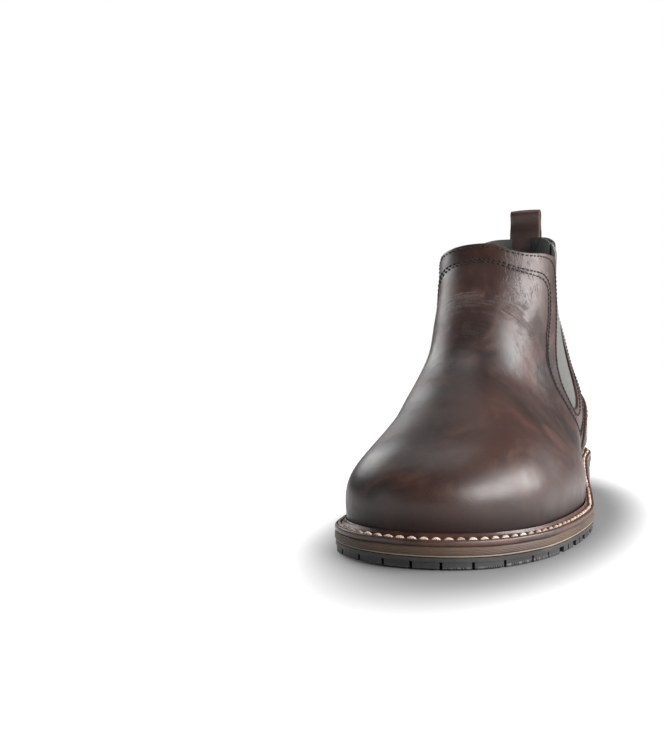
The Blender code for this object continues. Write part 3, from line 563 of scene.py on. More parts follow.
class Nodes:
    """Short forms for building a material's node tree."""

    def __init__(self, name):
        self.material = bpy.data.materials.new(name)
        self.material.use_nodes = True
        self.tree = self.material.node_tree
        self.shader = self.tree.nodes["Principled BSDF"]
        self.coords = self.tree.nodes.new("ShaderNodeTexCoord").outputs["Object"]

    def put(self, socket, value):
        if hasattr(value, "links"):
            self.tree.links.new(value, socket)
        elif isinstance(value, (tuple, list)) and len(value) == 3 and len(socket.default_value) == 4:
            socket.default_value = (*value, 1)
        else:
            socket.default_value = value

    def node(self, kind, out=0, settings=(), **inputs):
        made = self.tree.nodes.new("ShaderNode" + kind)
        for key, value in dict(settings).items():
            setattr(made, key, value)
        for key, value in inputs.items():
            self.put(made.inputs[int(key[1:])] if key[0] == "_" else made.inputs[key], value)
        return made.outputs[out]

    def math(self, operation, a, b=0.0):
        return self.node("Math", settings={"operation": operation}, _0=a, _1=b)

    def plus(self, a, b):
        return self.math("ADD", a, b)

    def times(self, a, b):
        return self.math("MULTIPLY", a, b)

    def wave(self, value, pitch):
        return self.math("SINE", self.times(value, 2 * math.pi / pitch))

    def noise(self, scale, detail=3.0, roughness=0.55, distortion=0.0, vector=None):
        return self.node("TexNoise", Vector=vector or self.coords, Scale=scale, Detail=detail,
                         Roughness=roughness, Distortion=distortion)

    def voronoi(self, scale):
        return self.node("TexVoronoi", Vector=self.coords, Scale=scale)

    def ramp(self, value, low, high, to_low=0.0, to_high=1.0):
        return self.node("MapRange", settings={"interpolation_type": "SMOOTHSTEP"}, _0=value, _1=low, _2=high,
                         _3=to_low, _4=to_high)

    def mix(self, factor, a, b):
        return self.node("Mix", "Result", {"data_type": "RGBA"}, Factor=factor, A=a, B=b)

    def tint(self, colour, other, mask, share):
        """The colour, with up to this share of the other where the mask is 1."""
        return self.mix(self.times(mask, share), colour, other)

    def scaled(self, vector, scale):
        return self.node("VectorMath", settings={"operation": "MULTIPLY"}, _0=vector, _1=scale)

    def attribute(self, name, out="Fac"):
        return self.node("Attribute", out, {"attribute_name": name})

    def axes(self):
        made = self.tree.nodes.new("ShaderNodeSeparateXYZ")
        self.put(made.inputs[0], self.coords)
        return made.outputs

    def bump(self, height, distance, under=None):
        below = {"Normal": under} if under else {}
        return self.node("Bump", "Normal", Height=height, Distance=distance, **below)

    def finish(self, **inputs):
        for key, value in inputs.items():
            self.put(self.shader.inputs[key.replace("_", " ")], value)
        return self.material


def leather(name, dark=(0.017, 0.0078, 0.0065), middle=(0.044, 0.0185, 0.0135), warm=(0.080, 0.030, 0.019),
            roughness=(0.36, 0.50), creases=0.0, grain=0.00004, coat=0.22):
    """Polished smooth leather: mottled antique colour, fine pores, stretch lines and soft wax sheen, with
    painted shade low on the upper.
    """
    n = Nodes(name)
    cloud = n.noise(14, 4, 0.55, 0.6)
    patches = n.noise(33, 5, 0.6, 1.2)
    smudge = n.noise(75, 6, 0.65, 0.4)
    pores = n.voronoi(1150)
    painted_low_shade = n.attribute("painted_low_shade")
    colour = n.mix(n.ramp(cloud, 0.36, 0.62), dark, middle)
    colour = n.tint(colour, warm, n.ramp(patches, 0.48, 0.72), 0.75)
    colour = n.tint(colour, dark, n.ramp(smudge, 0.5, 0.75), 0.45)
    # painted shade: the leather is darkened here, and its coat and specular are lowered below, in a band just
    # above the welt
    colour = n.tint(colour, tuple(0.55 * c for c in dark), painted_low_shade, 0.8)
    colour = n.tint(colour, dark, n.ramp(pores, 0.0, 0.25, 1.0, 0.0), 0.22)
    normal = n.bump(n.plus(n.ramp(pores, 0.0, 0.35), n.times(n.noise(2600, 2), 0.5)), grain)
    if creases:
        flow = n.attribute("flow", "Vector")
        turned = n.node("VectorRotate", settings={"rotation_type": "Z_AXIS"}, Vector=flow, Angle=0.75)
        height = 0.0
        for mask, path, scale in (("crease", flow, (0.025, 0.60, 0.0)), ("tug", flow, (0.72, 0.035, 0.0)),
                                  ("slant", turned, (0.02, 0.50, 0.0))):
            drawn = n.noise(1.0, 3, 0.6, 0.25, n.scaled(path, scale))
            off_line = n.math("ABSOLUTE", n.math("SUBTRACT", drawn, 0.5))
            valley = n.ramp(off_line, 0.0, 0.035, -1.0, 0.0)
            height = n.plus(height, n.times(valley, n.attribute(mask)))
        broken = n.ramp(n.noise(90, 3), 0.40, 0.60, 0.1, 1.0)
        normal = n.bump(n.times(height, broken), creases, under=normal)
    wear = n.times(n.ramp(n.attribute("edge"), 0.0, 1.3, 1.0, 0.0), n.ramp(smudge, 0.35, 0.6))
    colour = n.tint(colour, warm, wear, 0.35)
    rough = n.ramp(n.plus(n.times(patches, 0.5), n.times(smudge, 0.5)), 0.35, 0.65, *roughness)
    return n.finish(Base_Color=colour, Roughness=rough, Normal=normal, Coat_Roughness=0.33,
                    Coat_Normal=normal, Coat_Weight=n.ramp(painted_low_shade, 0.0, 1.0, coat, 0.0),
                    Specular_IOR_Level=n.ramp(painted_low_shade, 0.0, 1.0, 0.5, 0.22))


def cut_edge(name):
    """Raw cut edge of the leather: fibrous, warm brown, matt."""
    n = Nodes(name)
    fibre = n.noise(1400, 3)
    colour = n.mix(n.ramp(fibre, 0.35, 0.65), (0.030, 0.014, 0.009), (0.11, 0.052, 0.028))
    return n.finish(Base_Color=colour, Roughness=0.75, Normal=n.bump(fibre, 0.0001))


def elastic():
    """Ribbed webbing: upright rubber ribs bound by fine cross threads, with painted shade in the rib valleys
    and painted highlight on the thread crests.
    """
    n = Nodes("elastic_webbing")
    _, y, z = n.axes()
    wobble = n.times(n.noise(220, 2), 0.00035)
    ribs = n.wave(n.plus(y, wobble), 0.00125)
    threads = n.wave(n.plus(z, wobble), 0.0006)
    height = n.plus(n.times(ribs, 0.5), n.times(threads, 0.16))
    # painted shade: darker in the rib valleys; painted highlight: lighter on the cross threads' crests
    colour = n.mix(n.ramp(ribs, -0.9, 0.7), (0.026, 0.028, 0.024), (0.098, 0.100, 0.084))
    colour = n.tint(colour, (0.18, 0.185, 0.155), n.ramp(threads, -0.2, 0.9), 0.3)
    colour = n.tint(colour, (0.05, 0.052, 0.044), n.ramp(n.noise(45, 4), 0.4, 0.7), 0.3)
    normal = n.bump(n.plus(height, n.times(n.noise(3200, 3), 0.3)), 0.00028)
    return n.finish(Base_Color=colour, Roughness=0.86, Normal=normal, Sheen_Weight=0.3, Sheen_Roughness=0.5)


def cloth(name, dark, light, pitch=0.0009):
    """Woven lining cloth: two crossing sets of threads, fuzz and worn patches, with painted shade in the
    weave's hollows and painted highlight on its crossings.
    """
    n = Nodes(name)
    x, y, z = n.axes()
    slope = n.times(n.plus(x, y), 0.7)
    weave = n.times(n.wave(n.plus(z, slope), pitch), n.wave(n.math("SUBTRACT", z, slope), pitch))
    # painted shade and highlight: darker in the weave's hollows, lighter on its raised crossings
    colour = n.mix(n.ramp(weave, -0.8, 0.8), dark, light)
    colour = n.tint(colour, dark, n.ramp(n.noise(40, 4), 0.4, 0.7), 0.35)
    normal = n.bump(n.plus(n.times(weave, 0.5), n.times(n.noise(2800, 3), 0.5)), 0.00025)
    return n.finish(Base_Color=colour, Roughness=0.93, Normal=normal, Sheen_Weight=0.25)


def spring_steel():
    """Blued spring steel of the shank: rolled streaks and a few rust freckles."""
    n = Nodes("spring_steel")
    streaks = n.noise(1.0, 4, 0.6, 0.2, n.scaled(n.coords, (900, 40, 900)))
    freckles = n.ramp(n.noise(260, 5), 0.58, 0.70)
    colour = n.mix(n.ramp(streaks, 0.35, 0.65), (0.16, 0.17, 0.20), (0.30, 0.31, 0.33))
    colour = n.tint(colour, (0.13, 0.06, 0.03), freckles, 0.6)
    return n.finish(Base_Color=colour, Roughness=n.ramp(streaks, 0.3, 0.7, 0.28, 0.45), Metallic=0.95,
                    Normal=n.bump(streaks, 0.00003))


def thread(name, dark, light, twist=0.0011):
    """Waxed twisted thread, with painted shade in the grooves of its twist."""
    n = Nodes(name)
    x, y, z = n.axes()
    ply = n.wave(n.plus(n.plus(x, y), z), twist)
    colour = n.mix(n.ramp(n.noise(160, 4), 0.38, 0.66), dark, light)
    # painted shade: darker in the twist's grooves
    colour = n.tint(colour, dark, n.ramp(ply, -1.0, 0.0, 1.0, 0.0), 0.35)
    normal = n.bump(n.plus(ply, n.times(n.noise(4000, 2), 0.6)), 0.00012)
    return n.finish(Base_Color=colour, Roughness=0.55, Normal=normal)


def rubber(name, dark, light, rough=(0.45, 0.65), knurl=False, layers=False):
    """Moulded rubber: faint flow marks and scuffs, with a knurl on the blocks' ground faces."""
    n = Nodes(name)
    x, y, z = n.axes()
    cloud = n.noise(30, 4)
    scuff = n.noise(1.0, 4, 0.6, 0.5, n.scaled(n.coords, (60, 60, 700)))
    colour = n.mix(n.ramp(cloud, 0.35, 0.65), dark, light)
    colour = n.tint(colour, tuple(1.9 * c for c in light), n.ramp(scuff, 0.52, 0.75), 0.45)
    normal = n.bump(n.plus(n.times(n.noise(700, 3), 0.5), n.times(scuff, 0.7)), 0.00006)
    if layers:
        band = n.math("SINE", n.times(n.plus(z, n.times(n.noise(25, 2), 0.0012)), 9000))
        colour = n.tint(colour, tuple(1.6 * c for c in light), n.ramp(band, 0.2, 1.0), 0.3)
        normal = n.bump(band, 0.00005, under=normal)
    if knurl:
        pitch = 0.0017
        ridges = n.math("MAXIMUM", n.wave(n.plus(x, y), pitch), n.wave(n.math("SUBTRACT", x, y), pitch))
        cross = n.times(ridges, n.ramp(z, 0.0009, 0.0017, 1.0, 0.0))
        patchy = n.ramp(n.voronoi(45), 0.1, 0.5)
        normal = n.bump(n.times(cross, patchy), 0.0003, under=normal)
        colour = n.tint(colour, tuple(1.8 * c for c in light), n.times(n.ramp(cross, 0.2, 0.9), patchy), 0.5)
    return n.finish(Base_Color=colour, Roughness=n.ramp(cloud, 0.3, 0.7, *rough), Normal=normal)


UPPER_LEATHER = leather("polished_leather", creases=0.00024)
TRIM_LEATHER = leather("trim_leather", dark=(0.016, 0.008, 0.007), middle=(0.030, 0.014, 0.011))
WELT_LEATHER = leather("welt_leather", dark=(0.016, 0.008, 0.006), middle=(0.040, 0.017, 0.012),
                       warm=(0.10, 0.036, 0.022), roughness=(0.33, 0.5), grain=0.00008, coat=0.2)
CUT_EDGE = cut_edge("leather_cut_edge")
ELASTIC = elastic()
LINING_CLOTH = cloth("lining_cloth", (0.010, 0.014, 0.011), (0.040, 0.052, 0.042))
FOOTBED_CLOTH = cloth("footbed_cloth", (0.020, 0.018, 0.015), (0.065, 0.058, 0.048), 0.0012)
BLACK_THREAD = thread("black_thread", (0.004, 0.004, 0.004), (0.016, 0.015, 0.015), 0.0007)
CREAM_THREAD = thread("cream_thread", (0.36, 0.24, 0.18), (0.84, 0.66, 0.52))
BLACK_RUBBER = rubber("black_rubber", (0.020, 0.020, 0.020), (0.040, 0.040, 0.039), knurl=True)
TAN_RUBBER = rubber("tan_midsole", (0.050, 0.029, 0.018), (0.088, 0.053, 0.033), (0.5, 0.7), layers=True)
PALE_LINE = rubber("pale_line", (0.16, 0.13, 0.09), (0.26, 0.21, 0.15))

# ------------------------------------ leather panels

SIDES = (("lateral", 1), ("medial", -1))


def with_shaft(obj):
    """Bakes the object's placement into its mesh."""
    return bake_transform(obj)


def undulation(points):
    """The slight unevenness of hide stretched over the last, in millimetres."""
    rng = np.random.default_rng(3)
    total = np.zeros(len(points))
    for _ in range(16):
        wave = rng.normal(size=3)
        wave *= 2 * math.pi / rng.uniform(18, 60) / np.linalg.norm(wave)
        total += np.sin(points @ wave + rng.uniform(0, 6.3)) * 0.02
    return total


def front_coordinates(points):
    """Across and up the front of the boot, in millimetres from the ankle's bend."""
    x, y, z = points.T
    up = np.where(y < -20, y + 20, np.arctan2(y + 20, 150 - z) * 62)
    return x + 3 + (z - 90) * 0.07, up


def creases():
    """Lines of the flexed leather: (across, up, half length, tilt, curve, width, depth)."""
    rng = np.random.default_rng(21)
    lines = []
    for k in range(17):
        lines.append((rng.uniform(-24, 20), 30 + 2.7 * k + rng.uniform(-1.5, 1.5), rng.uniform(7, 17),
                      rng.uniform(-0.16, 0.16), rng.uniform(-0.012, 0.004), rng.uniform(0.9, 1.5),
                      rng.uniform(0.03, 0.09)))
    for k in range(7):
        lines.append((rng.uniform(14, 30), 14 + 4.5 * k + rng.uniform(-1.5, 1.5), rng.uniform(8, 15),
                      rng.uniform(0.35, 0.8), 0.004, rng.uniform(1.0, 1.6), rng.uniform(0.04, 0.11)))
    return lines


CREASES = creases()
GORE_LOOP = [(float(gore_front(z)), z) for z in np.linspace(195, 62, 34)]
GORE_LOOP += [(66.0, 60.0), (70.5, 59.4), (75.0, 60.8)]
GORE_LOOP += [(float(gore_rear(z)), z) for z in np.linspace(66, 195, 33)]


def leather_relief(points):
    """Undulation, flex lines over the ankle's bend and a soft dip along the double stitch row."""
    u, v = front_coordinates(points)
    front = ease(60, 25, points[:, 1])
    lift = undulation(points)
    for across, up, half, tilt, curve, width, depth in CREASES:
        du = u - across
        d = (v - up - tilt * du - curve * du * du) / width
        fall = np.exp(-(du / half) ** 2) * front * ease(66, 52, v)
        lift -= depth * fall * (np.exp(-d * d) - 0.45 * np.exp(-(np.abs(d) - 1.9) ** 2))
    lift -= 0.22 * np.exp(-((seam_line(points) - 12.6) / 1.9) ** 2)
    return lift


def seam_line(points):
    """Distance inside the leather from the edge that the stitch rows follow."""
    y, z = points[:, 1] + gore_shift(points), points[:, 2]
    off = np.full(len(points), 1e9)
    for (y0, z0), (y1, z1) in zip(GORE_LOOP, GORE_LOOP[1:]):
        t = np.clip(((y - y0) * (y1 - y0) + (z - z0) * (z1 - z0)) / ((y1 - y0) ** 2 + (z1 - z0) ** 2), 0, 1)
        off = np.minimum(off, np.hypot(y - y0 - t * (y1 - y0), z - z0 - t * (z1 - z0)))
    return smooth_min(from_top(points), off * 0.8 * np.where(in_gore(points) > 0, -1, 1), 14)


def crease_marks(obj, patch):
    """Where the hide shows fine lines: across the ankle's bend, and down from the topline and the gore; and a
    band of painted shade just above the welt.
    """
    x, y, z = patch.points.T
    u, v = front_coordinates(patch.points)
    bend = np.exp(-((v - 50) / 24) ** 2) * np.exp(-(u / 26) ** 2) * ease(62, 30, y) * ease(72, 56, v)
    vamp = 0.22 * np.exp(-((y + 30) / 30) ** 2) * ease(50, 75, z)
    tug = ease(112, 150, z) * ease(-8, 6, x) * ease(62, 20, y)
    slant = np.exp(-((z - 88) / 34) ** 2) * np.exp(-((y - 8) / 34) ** 2) * ease(2, 14, x) * 0.6
    slant = slant + np.exp(-((z - 66) / 20) ** 2) * np.exp(-((y - 40) / 26) ** 2) * 0.35
    # painted shade: 1 at the welt, fading out within about 13 mm above it
    low = np.exp(-(np.maximum(above_feather(patch.points), 0) / 13) ** 2)
    for name, value in (("painted_low_shade", low), ("crease", 0.45 * bend + vamp), ("tug", tug), ("slant", slant)):
        per_point(obj.data, name, np.clip(np.r_[value, value], 0, 1))
    return obj


def leather_panel(name, patch, layer, edge, body, replaces, relief):
    """One visible piece of leather, with a rounded cut edge, its crease marks and its painted shade near the
    welt.
    """
    made = panel_mesh(name, patch, layer, edge, body, replaces, LEATHERS, relief)
    return crease_marks(made, patch)


def vamp_patch(lift=0.2, grow=0.0):
    return Patch(over_welt(lift), lambda p: p[:, 1] - SIDE_SEAM, behind_gore,
                 lambda p: grow - leather_edge(p))


def quarter_patch(sign, lift=0.2, grow=0.0):
    return Patch(lambda p: QUARTER_FRONT - p[:, 1], over_welt(lift),
                 lambda p: -np.maximum(p[:, 1] - SIDE_SEAM, behind_gore(p)), one_side(sign),
                 lambda p: grow - leather_edge(p))


def cover_relief(points):
    """Undulation, and a dip along the counter's stitch row."""
    return undulation(points) - 0.15 * np.exp(-((counter(points) - 2.6) / 0.9) ** 2)


def strap_side(points):
    """Distance inside the back strap's two edges."""
    return STRAP_HALF - np.abs(points[:, 0] - leg_centre(points[:, 2]))


LEATHERS = [UPPER_LEATHER, CUT_EDGE]
ROUNDING = (0.12, 0.35, 0.8, 1.6)
STRAP_HALF = 9.0
PANELS = {"vamp": vamp_patch().rings_near(leather_edge, ROUNDING)}
leather_panel("vamp_leather", PANELS["vamp"], UPPER, leather_edge, "lower", ["vamp"], leather_relief)
for side, sign in SIDES:
    patch = quarter_patch(sign).rings_near(leather_edge, ROUNDING)
    PANELS["quarter_" + side] = patch
    stands_for = ["quarter_" + side] + (["heel_quarter"] if sign > 0 else [])
    with_shaft(leather_panel("quarter_leather_" + side, patch, UPPER, leather_edge, None, stands_for,
                             leather_relief))

cover = Patch(lambda p: COVER_FRONT - p[:, 1], over_welt(0.3), lambda p: -counter(p))
cover.rings_near(counter, ROUNDING)
leather_panel("heel_counter_leather", cover, COVER, counter, "lower", ["heel_counter_cover"], cover_relief)

strap = Patch(lambda p: 125.0 - p[:, 1], lambda p: 66.0 - p[:, 2], lambda p: 0.3 - from_top(p),
              lambda p: -strap_side(p))
strap.rings_near(strap_side, (0.3, 0.8, 1.6))
with_shaft(leather_panel("back_strap_leather", strap, STRAP, strap_side, None, ["back_strap"], undulation))

# ------------------ linings, stiffeners and elastics


WEBBING, SEWN_IN = (1.2, 2.5), 7.0  # the elastic's depth in the upper, and its width under the leather


def plain(name, patch, layer, body, stands_for, material):
    """A hidden or inner layer with square edges."""
    return panel_mesh(name, patch, layer, lambda p: np.full(len(p), 9.0), body, stands_for, [material])


plain("vamp_lining_cloth", vamp_patch(0.9, 0.5), LINING, "lower", ["vamp_lining"], LINING_CLOTH)
puff = Patch(lambda p: p[:, 1] + 98, over_welt(1.0))
plain("toe_puff_board", puff, STIFFENER, "lower", ["toe_puff"], FOOTBED_CLOTH)
stiff = Patch(lambda p: 64 - p[:, 1], over_welt(1.0), lambda p: p[:, 2] - 40 - (p[:, 1] - 64) * 0.3)
plain("heel_stiffener_board", stiff, STIFFENER, "lower", ["heel_stiffener"], FOOTBED_CLOTH)
for side, sign in SIDES:
    stands_for = ["quarter_lining", "heel_lining"] if sign > 0 else []
    with_shaft(plain("quarter_lining_cloth_" + side, quarter_patch(sign, 0.9, 0.5), LINING, None, stands_for,
                     LINING_CLOTH))
    gore = Patch(lambda p: 45.0 - p[:, 2], lambda p: 1.0 - from_top(p), one_side(sign),
                 lambda p: -in_gore(p) - SEWN_IN)
    webbing = plain("elastic_" + side, gore, WEBBING, None, ["gore_" + side], ELASTIC)
    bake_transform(webbing)

# ------------------------------------------ stitches


def along_line(points, normals, pitch):
    """Places at equal steps on a polyline: middle points, directions and normals."""
    run = run_of(points)
    count = max(int(run[-1] / pitch), 1)
    at = (np.arange(count) + 0.5) * run[-1] / count

    def read(data, where):
        return np.stack([np.interp(where, run, data[:, k]) for k in range(3)], 1)

    near = pitch * 0.3
    ahead = unit(read(points, np.minimum(at + near, run[-1])) - read(points, np.maximum(at - near, 0)))
    up = read(normals, at)
    up = unit(up - (up * ahead).sum(1)[:, None] * ahead)
    return read(points, at), ahead, up


def smoothed(points):
    for _ in range(6):
        points[1:-1] = points[1:-1] * 0.5 + (points[:-2] + points[2:]) * 0.25
    return points


STITCH_SHAPE = [(-0.5, -0.9, 0.55), (-0.38, -0.05, 0.85), (-0.18, 0.45, 1.0), (0.0, 0.55, 1.0),
                (0.18, 0.45, 1.0), (0.38, -0.05, 0.85), (0.5, -0.9, 0.55)]  # along, height and thickness


def stitches(name, rows, height, pitch, length, radius, material, sides=6, relief=None):
    """One object that holds every stitch of the rows; each stitch arches between its two holes."""
    rng = np.random.default_rng(5)
    points, faces = [], []
    for line, normals in rows:
        places = along_line(smoothed(line.copy()), normals, pitch)
        lifts = relief(places[0]) if relief else np.zeros(len(places[0]))
        for middle, ahead, up, lift in zip(*places, lifts):
            middle = middle + up * lift
            side = np.cross(ahead, up)
            turn = rng.normal(0, 0.035)
            ahead, side = ahead + side * turn, side - ahead * turn
            first = len(points)
            size = rng.uniform(0.93, 1.07)
            for along, rise, thick in STITCH_SHAPE:
                centre = middle + ahead * along * length * size + up * (height + rise * radius)
                for k in range(sides):
                    angle = 2 * math.pi * (k + 0.5) / sides
                    spoke = side * math.cos(angle) + up * math.sin(angle) * 0.85
                    points.append(centre + spoke * radius * thick)
            rings = len(STITCH_SHAPE)
            for r in range(rings - 1):
                for k in range(sides):
                    n = (k + 1) % sides
                    a, b = first + r * sides, first + (r + 1) * sides
                    faces.append((a + k, b + k, b + n, a + n))
            faces.append(tuple(first + k for k in range(sides)))
            faces.append(tuple(first + (rings - 1) * sides + k for k in range(sides))[::-1])
    return build(name, np.array(points), faces, None, None, [material], smooth_angle=70)


ROWS = (2.3, 11.6, 13.7)  # one row beside the edge and a double row further in
for name, patch in PANELS.items():
    lines = [line for level in ROWS for line in patch.contour(seam_line, level)]
    made = stitches("stitches_" + name, lines, UPPER[1] + 0.12, 2.75, 2.72, 0.5, BLACK_THREAD,
                    relief=leather_relief)
    if name == "vamp":
        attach(made, "lower")
    else:
        with_shaft(made)
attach(stitches("stitches_heel_counter", cover.contour(counter, 2.7), COVER[1], 4.2, 3.6, 0.6,
                 CREAM_THREAD, relief=cover_relief), "lower")
with_shaft(stitches("stitches_back_strap", strap.contour(strap_side, 2.0), STRAP[1] - 0.08, 2.75, 2.6, 0.46,
                    BLACK_THREAD, relief=undulation))

# ------------------------------------------ pull tab

TAB_X, TAB_HALF, TAB_THICK = -8.8, 11.2, 1.5
TAB_LOW, TAB_SEWN, TAB_TOP = 167.0, 191.5, 208.8  # lower end, top of the sewn legs, top of the loop
TAB_OUT, TAB_IN = 7.0, -1.1  # the legs' places behind the last's rear skin
TAB_FLAT = 15


def rear_skin(z):
    return back_of_leg(z) - UPPER[1]


def tab_section():
    """The strap's section: two flat faces with softened edges, as (across, out) pairs."""
    half = TAB_THICK / 2
    face = [(x * (TAB_HALF - 0.5), half) for x in np.linspace(-1, 1, TAB_FLAT)]
    face += [(TAB_HALF - 0.15, half * 0.75), (TAB_HALF, half * 0.3), (TAB_HALF, -half * 0.3),
             (TAB_HALF - 0.15, -half * 0.75)]
    return face + [(-x, -h) for x, h in face]


def tab_centre_line():
    """The strap's middle as (y, z) pairs: up the outside, round the free loop and down the inside."""
    outer = [(rear_skin(z) + TAB_OUT, z) for z in np.linspace(TAB_LOW, TAB_SEWN, 22)]
    inner = [(rear_skin(z) + TAB_IN, z) for z in np.linspace(TAB_SEWN, TAB_LOW, 22)]
    y_out, y_in = outer[-1][0], inner[0][0]
    radius, middle = (y_out - y_in) / 2, (y_out + y_in) / 2
    rise = np.linspace(TAB_SEWN + 0.4, TAB_TOP - radius - TAB_THICK / 2, 16)[1:]
    pinch = [1.1 * math.sin(math.pi * min(max((z - TAB_SEWN) / 14, 0), 1)) for z in rise]
    free = [(y_out - p, z) for p, z in zip(pinch, rise)]
    arc = [(middle + (radius - 0.1) * math.cos(a), rise[-1] + radius * math.sin(a))
           for a in np.linspace(0, math.pi, 14)[1:-1]]
    back = [(y_in + p, z) for p, z in zip(pinch[::-1], rise[::-1])]
    return np.array(outer + free + arc + back + inner)


def pull_tab():
    """One folded leather strap: sewn outside and inside the rear topline, with a free loop above."""
    centre, section = tab_centre_line(), tab_section()
    along = unit(np.gradient(centre, axis=0))
    out = np.stack([along[:, 1], -along[:, 0]], 1)
    points, flow, edge = [], [], []
    for (y, z), o, s in zip(centre, out, run_of(centre)):
        narrow = 1 - 0.02 * math.sin(math.pi * min(max((z - 192) / 18, 0), 1))
        wave = 0.12 * math.sin(s * 0.21) + 0.08 * math.sin(s * 0.47 + 1)
        for x, h in section:
            shift = h + 0.35 * (1 - (x / TAB_HALF) ** 2) + wave * math.cos(x * 0.25)
            points.append((TAB_X + x * narrow, y + o[0] * shift, z + o[1] * shift))
            flow.append((x, s))
            edge.append(TAB_HALF - abs(x))
    sides = len(section)
    rings = [range(first, first + sides) for first in range(0, len(points), sides)]
    faces = band_faces(rings) + [tuple(rings[0])[::-1], tuple(rings[-1])]
    finish = [int(f[0] % sides % (sides // 2) >= TAB_FLAT - 1) for f in faces]
    made = build("pull_tab_leather", np.array(points), faces, None,
                 ["pull_tab", "pull_tab_leg_outer", "pull_tab_leg_inner"],
                 [TRIM_LEATHER, CUT_EDGE], finish, np.array(flow), np.array(edge))
    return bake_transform(made)


pull_tab()


def tab_stitches():
    """A boxed stitch on the outer leg of the pull tab."""
    half, low, high, count = 9.2, 169.0, 183.0, 8
    skin = TAB_OUT + TAB_THICK / 2
    normals = np.tile((0.0, 1.0, 0.0), (count, 1))
    rows = []
    for x in (-half, half):
        z = np.linspace(low, high, count)
        rows.append((np.stack([np.full(count, TAB_X + x), rear_skin(z) + skin + 0.1, z], 1), normals))
    for z in (low, high):
        x = np.linspace(-half, half, count)
        y = np.full(count, rear_skin(z) + skin + 0.25)
        rows.append((np.stack([TAB_X + x, y, np.full(count, z)], 1), normals))
    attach(stitches("stitches_pull_tab", rows, 0.0, 2.6, 2.15, 0.36, BLACK_THREAD), "rear_shaft")


tab_stitches()

# ---------------------------------------- sole parts


def plan_ring(inset, ground, height):
    """A closed loop parallel to the sole's edge, at a height over a surface given as z over y."""
    loop = inset_outline(inset)[::2]
    loop = np.roll(loop, -int(loop[:, 1].argmin()), 0)
    return np.c_[loop, ground(loop[:, 1]) + height]


def lofted(name, loops, stands_for, materials, finish=None, capped=True):
    """Skins closed loops one after the other; the first and last can be closed across."""
    n = len(loops[0])
    faces = band_faces([range(n * r, n * r + n) for r in range(len(loops))])
    finishes = [finish[f[0] // n] if finish else 0 for f in faces]
    for first in (0, (len(loops) - 1) * n) if capped else ():
        for k in range(n // 2):
            face = [first + k, first + k + 1, first + (n - k - 1) % n, first + (n - k) % n]
            face = [v for i, v in enumerate(face) if v not in face[:i]]
            if len(face) > 2:
                faces.append(tuple(face) if first else tuple(face[::-1]))
                finishes.append(0)
    made = build(name, np.vstack(loops), faces, None, stands_for, materials, finishes, smooth_angle=40)
    shape = bmesh.new()
    shape.from_mesh(made.data)
    bmesh.ops.recalc_face_normals(shape, faces=shape.faces)
    shape.to_mesh(made.data)
    shape.free()
    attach(made, "lower")
    return made


MIDSOLE_PROFILE = [(3.5, 0.02, 0), (0.75, 0.02, 1), (0.35, 0.12, 1), (0.3, 0.5, 1), (0.42, 0.7, 0),
                   (0.12, 0.95, 0), (0.0, 1.4, 0), (0.0, 3.5, 0), (0.15, 4.1, 0), (0.5, 4.5, 0),
                   (1.2, 4.66, 0), (4.0, 4.68, 0)]  # inset, height, and 1 for the pale line
WELT_PROFILE = [(0.45, 0.0), (0.1, 0.35), (0.0, 0.9), (0.0, 1.9), (0.15, 2.45), (0.55, 2.85), (1.1, 3.0),
                (1.45, 2.9), (1.75, 2.62), (2.3, 2.5), (2.85, 2.62), (3.15, 2.92), (3.5, 3.05)]
WELT_RIM = [(0.35, 3.2), (0.65, 3.7), (0.85, 4.3), (0.97, 4.75), (1.1, 4.85), (1.3, 4.6)]  # share, height
FOOTBED_PROFILE = [(1.6, 2.9), (0.6, 3.0), (0.0, 3.6), (0.0, 5.2), (0.5, 6.1), (1.6, 6.5), (5, 6.6),
                   (12, 6.3)]


def midsole():
    rings = [plan_ring(inset, rubber_top, height) for inset, height, _ in MIDSOLE_PROFILE]
    finish = [line for _, _, line in MIDSOLE_PROFILE]
    lofted("midsole_rubber", rings, ["midsole"], [TAN_RUBBER, PALE_LINE], finish)


def welt():
    """The storm welt: rounded outer edge, a groove for the stitches, and a rim raised against the upper."""
    width, groove = welt_width(OUTLINE[:, 1]), WELT_PROFILE[-1][0]
    profile = [(width + 5.0, 0.05)] + WELT_PROFILE
    profile += [(groove + (width - groove) * share, height) for share, height in WELT_RIM]
    profile += [(width + 3.0, 3.0), (width + 5.0, 0.05)]
    lofted("welt_strip", [plan_ring(inset, midsole_top, height) for inset, height in profile], ["welt"],
           [WELT_LEATHER], capped=False)


def welt_stitches():
    path = inset_outline(2.3)
    line = np.c_[path, feather(path[:, 1])]
    line = np.vstack([line, line[:1]])
    upright = np.tile((0.0, 0.0, 1.0), (len(line), 1))
    made = stitches("stitches_welt", [(line, upright)], -0.15, 5.5, 4.7, 0.8, CREAM_THREAD,
                    sides=8)
    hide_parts("welt_thread")
    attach(made, "lower")


def footbed():
    inset = welt_width(OUTLINE[:, 1]) + UPPER[1] + 5.4
    rings = [plan_ring(inset + inwards, feather, height) for inwards, height in FOOTBED_PROFILE]
    bed = lofted("footbed_sock", rings, ["footbed"], [FOOTBED_CLOTH])


midsole()
welt()
welt_stitches()
footbed()
for node, material in (("outsole", BLACK_RUBBER), ("cork_filler", FOOTBED_CLOTH),
                       ("heel_seat_filler", FOOTBED_CLOTH), ("insole_board", FOOTBED_CLOTH),
                       ("steel_shank", spring_steel())):
    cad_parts[node].data.materials.clear()
    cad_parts[node].data.materials.append(material)

# ---------------------------------- stage and camera


FLOOR_HALF = 9.0
